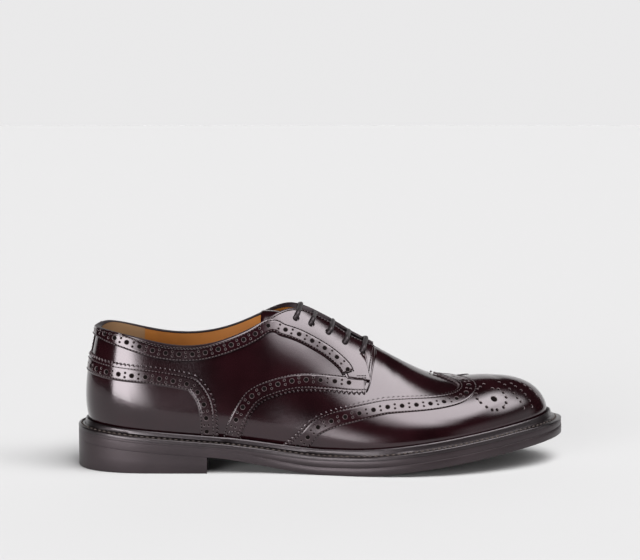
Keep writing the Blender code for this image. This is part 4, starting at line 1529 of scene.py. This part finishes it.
heel = bmesh.new()
for side in (-1, 1):
    flats = [(np.minimum(heel_ring(side, inset), (HEEL_FRONT, 1.0)), share)
             for inset, share in HEEL_SECTION]
    sheet(heel, [raised(flat, heel_height(flat[:, 0]) * share) for flat, share in flats])
for inset, share in (HEEL_SECTION[-1], HEEL_SECTION[0]):
    across_fill(heel, [heel_ring(-1, inset), heel_ring(1, inset)],
                lambda x: heel_height(x) * share, front=HEEL_FRONT)
weld(heel, gap=5e-6)
bmesh.ops.holes_fill(heel, edges=[e for e in heel.edges if e.is_boundary], sides=0)
facing_out(heel)
mark_underside(heel, below=2 * MM)
finish_piece("heel_stack", heel, [heel_side, rubber], ["heel"])


# %% [markdown]
# ## Floor and light
#
# The shoe stands on a wide pale table. The table ends half a metre in front of it, so that the
# leather shows a dark room above a pale foot. Behind, the table runs out to the horizon.

# %% Floor
floor_work = bmesh.new()
half_width, depth = np.meshgrid((-1.0, 1.0), np.linspace(0.0, 1.0, 61))
y = 60.0 * depth ** 3 - 0.45
x = half_width * (1.4 + 0.35 * np.maximum(0.0, y - 1.0))
sheet(floor_work, np.stack([x, y, np.zeros_like(x)], -1))
floor_mesh = bpy.data.meshes.new("floor")
floor_work.to_mesh(floor_mesh)
floor_work.free()
for polygon in floor_mesh.polygons:
    polygon.use_smooth = True
floor = bpy.data.objects.new("floor", floor_mesh)
bpy.context.scene.collection.objects.link(floor)
floor_mesh.materials.append(matt("pale paper", (0.56, 0.56, 0.56)))


# %% [markdown]
# ## Studio light
#
# Polished leather is mostly a mirror, so what it reflects matters more than what lights it.
# The room is dark, with soft boxes in it. They are painted on the world by direction, so they
# light the floor evenly, near and far.

# %% Soft boxes on the world
def make_softbox():
    """A soft-edged rectangle in a direction: 1 inside, 0 outside."""
    group, given, out = new_group(
        "softbox",
        [("Direction", VECTOR, None), ("Centre", VECTOR, None), ("Right", VECTOR, None),
         ("Up", VECTOR, None), ("Half width", FLOAT, 0.3), ("Half height", FLOAT, 0.3),
         ("Edge", FLOAT, 0.05)],
        [("Mask", FLOAT)],
    )

    def dot(name):
        node = add(group, "VectorMath")
        node.operation = "DOT_PRODUCT"
        for socket, title in zip(node.inputs, ("Direction", name)):
            group.links.new(given.outputs[title], socket)
        return node.outputs["Value"]

    ahead = dot("Centre")
    shares = []
    for name, half in (("Right", "Half width"), ("Up", "Half height")):
        away = math_node(group, "ABSOLUTE", math_node(group, "DIVIDE", dot(name), ahead))
        inside_by = math_node(group, "SUBTRACT", given.outputs[half], away)
        shares.append(math_node(group, "DIVIDE", inside_by, given.outputs["Edge"], clamp=True))
    both = math_node(group, "MULTIPLY", *shares)
    front = math_node(group, "GREATER_THAN", ahead, 0.05)
    fill(group, out, Mask=math_node(group, "MULTIPLY", both, front))
    return group


# azimuth and elevation in degrees, half width, half height, power, soft edge
BACKDROP = (180.0, 8.0, 1.20, 0.45, 0.81, 0.02)
BOXES = [
    (50.0, 66.0, 0.56, 0.40, 8.5, 0.24), (12.0, 55.0, 0.36, 0.36, 8.5, 0.26),
    (74.0, 45.0, 0.32, 0.30, 7.0, 0.22), (-37.0, 5.0, 0.25, 0.26, 13.0, 0.04),
    (-30.0, 6.0, 0.38, 0.28, 13.0, 0.22), (62.0, 6.0, 0.70, 0.40, 0.6, 0.30),
]

softbox = make_softbox()
world = bpy.data.worlds.new("studio")
bpy.context.scene.world = world
world.use_nodes = True
sky = world.node_tree
direction = add(sky, "TexCoord").outputs["Generated"]


def place_softbox(azimuth, elevation, half_width, half_height, power, edge):
    """Azimuth is turned from the camera's side, -y, towards +x."""
    a, e = math.radians(azimuth), math.radians(elevation)
    centre = Vector((math.sin(a) * math.cos(e), -math.cos(a) * math.cos(e), math.sin(e)))
    right_way = Vector((math.cos(a), math.sin(a), 0.0))
    box = add(sky, "Group")
    box.node_tree = softbox
    fill(sky, box, Direction=direction, Centre=centre, Right=right_way,
         Up=right_way.cross(centre) * -1.0, Half_width=half_width, Half_height=half_height,
         Edge=edge)
    return math_node(sky, "MULTIPLY", box.outputs["Mask"], power)


light = place_softbox(*BACKDROP)
for box in BOXES:
    light = math_node(sky, "MAXIMUM", light, place_softbox(*box))
fill(sky, sky.nodes["Background"], Color=(1.0, 0.995, 1.0, 1.0),
     Strength=math_node(sky, "ADD", light, 0.012))
bpy.context.scene.view_settings.view_transform = "Standard"
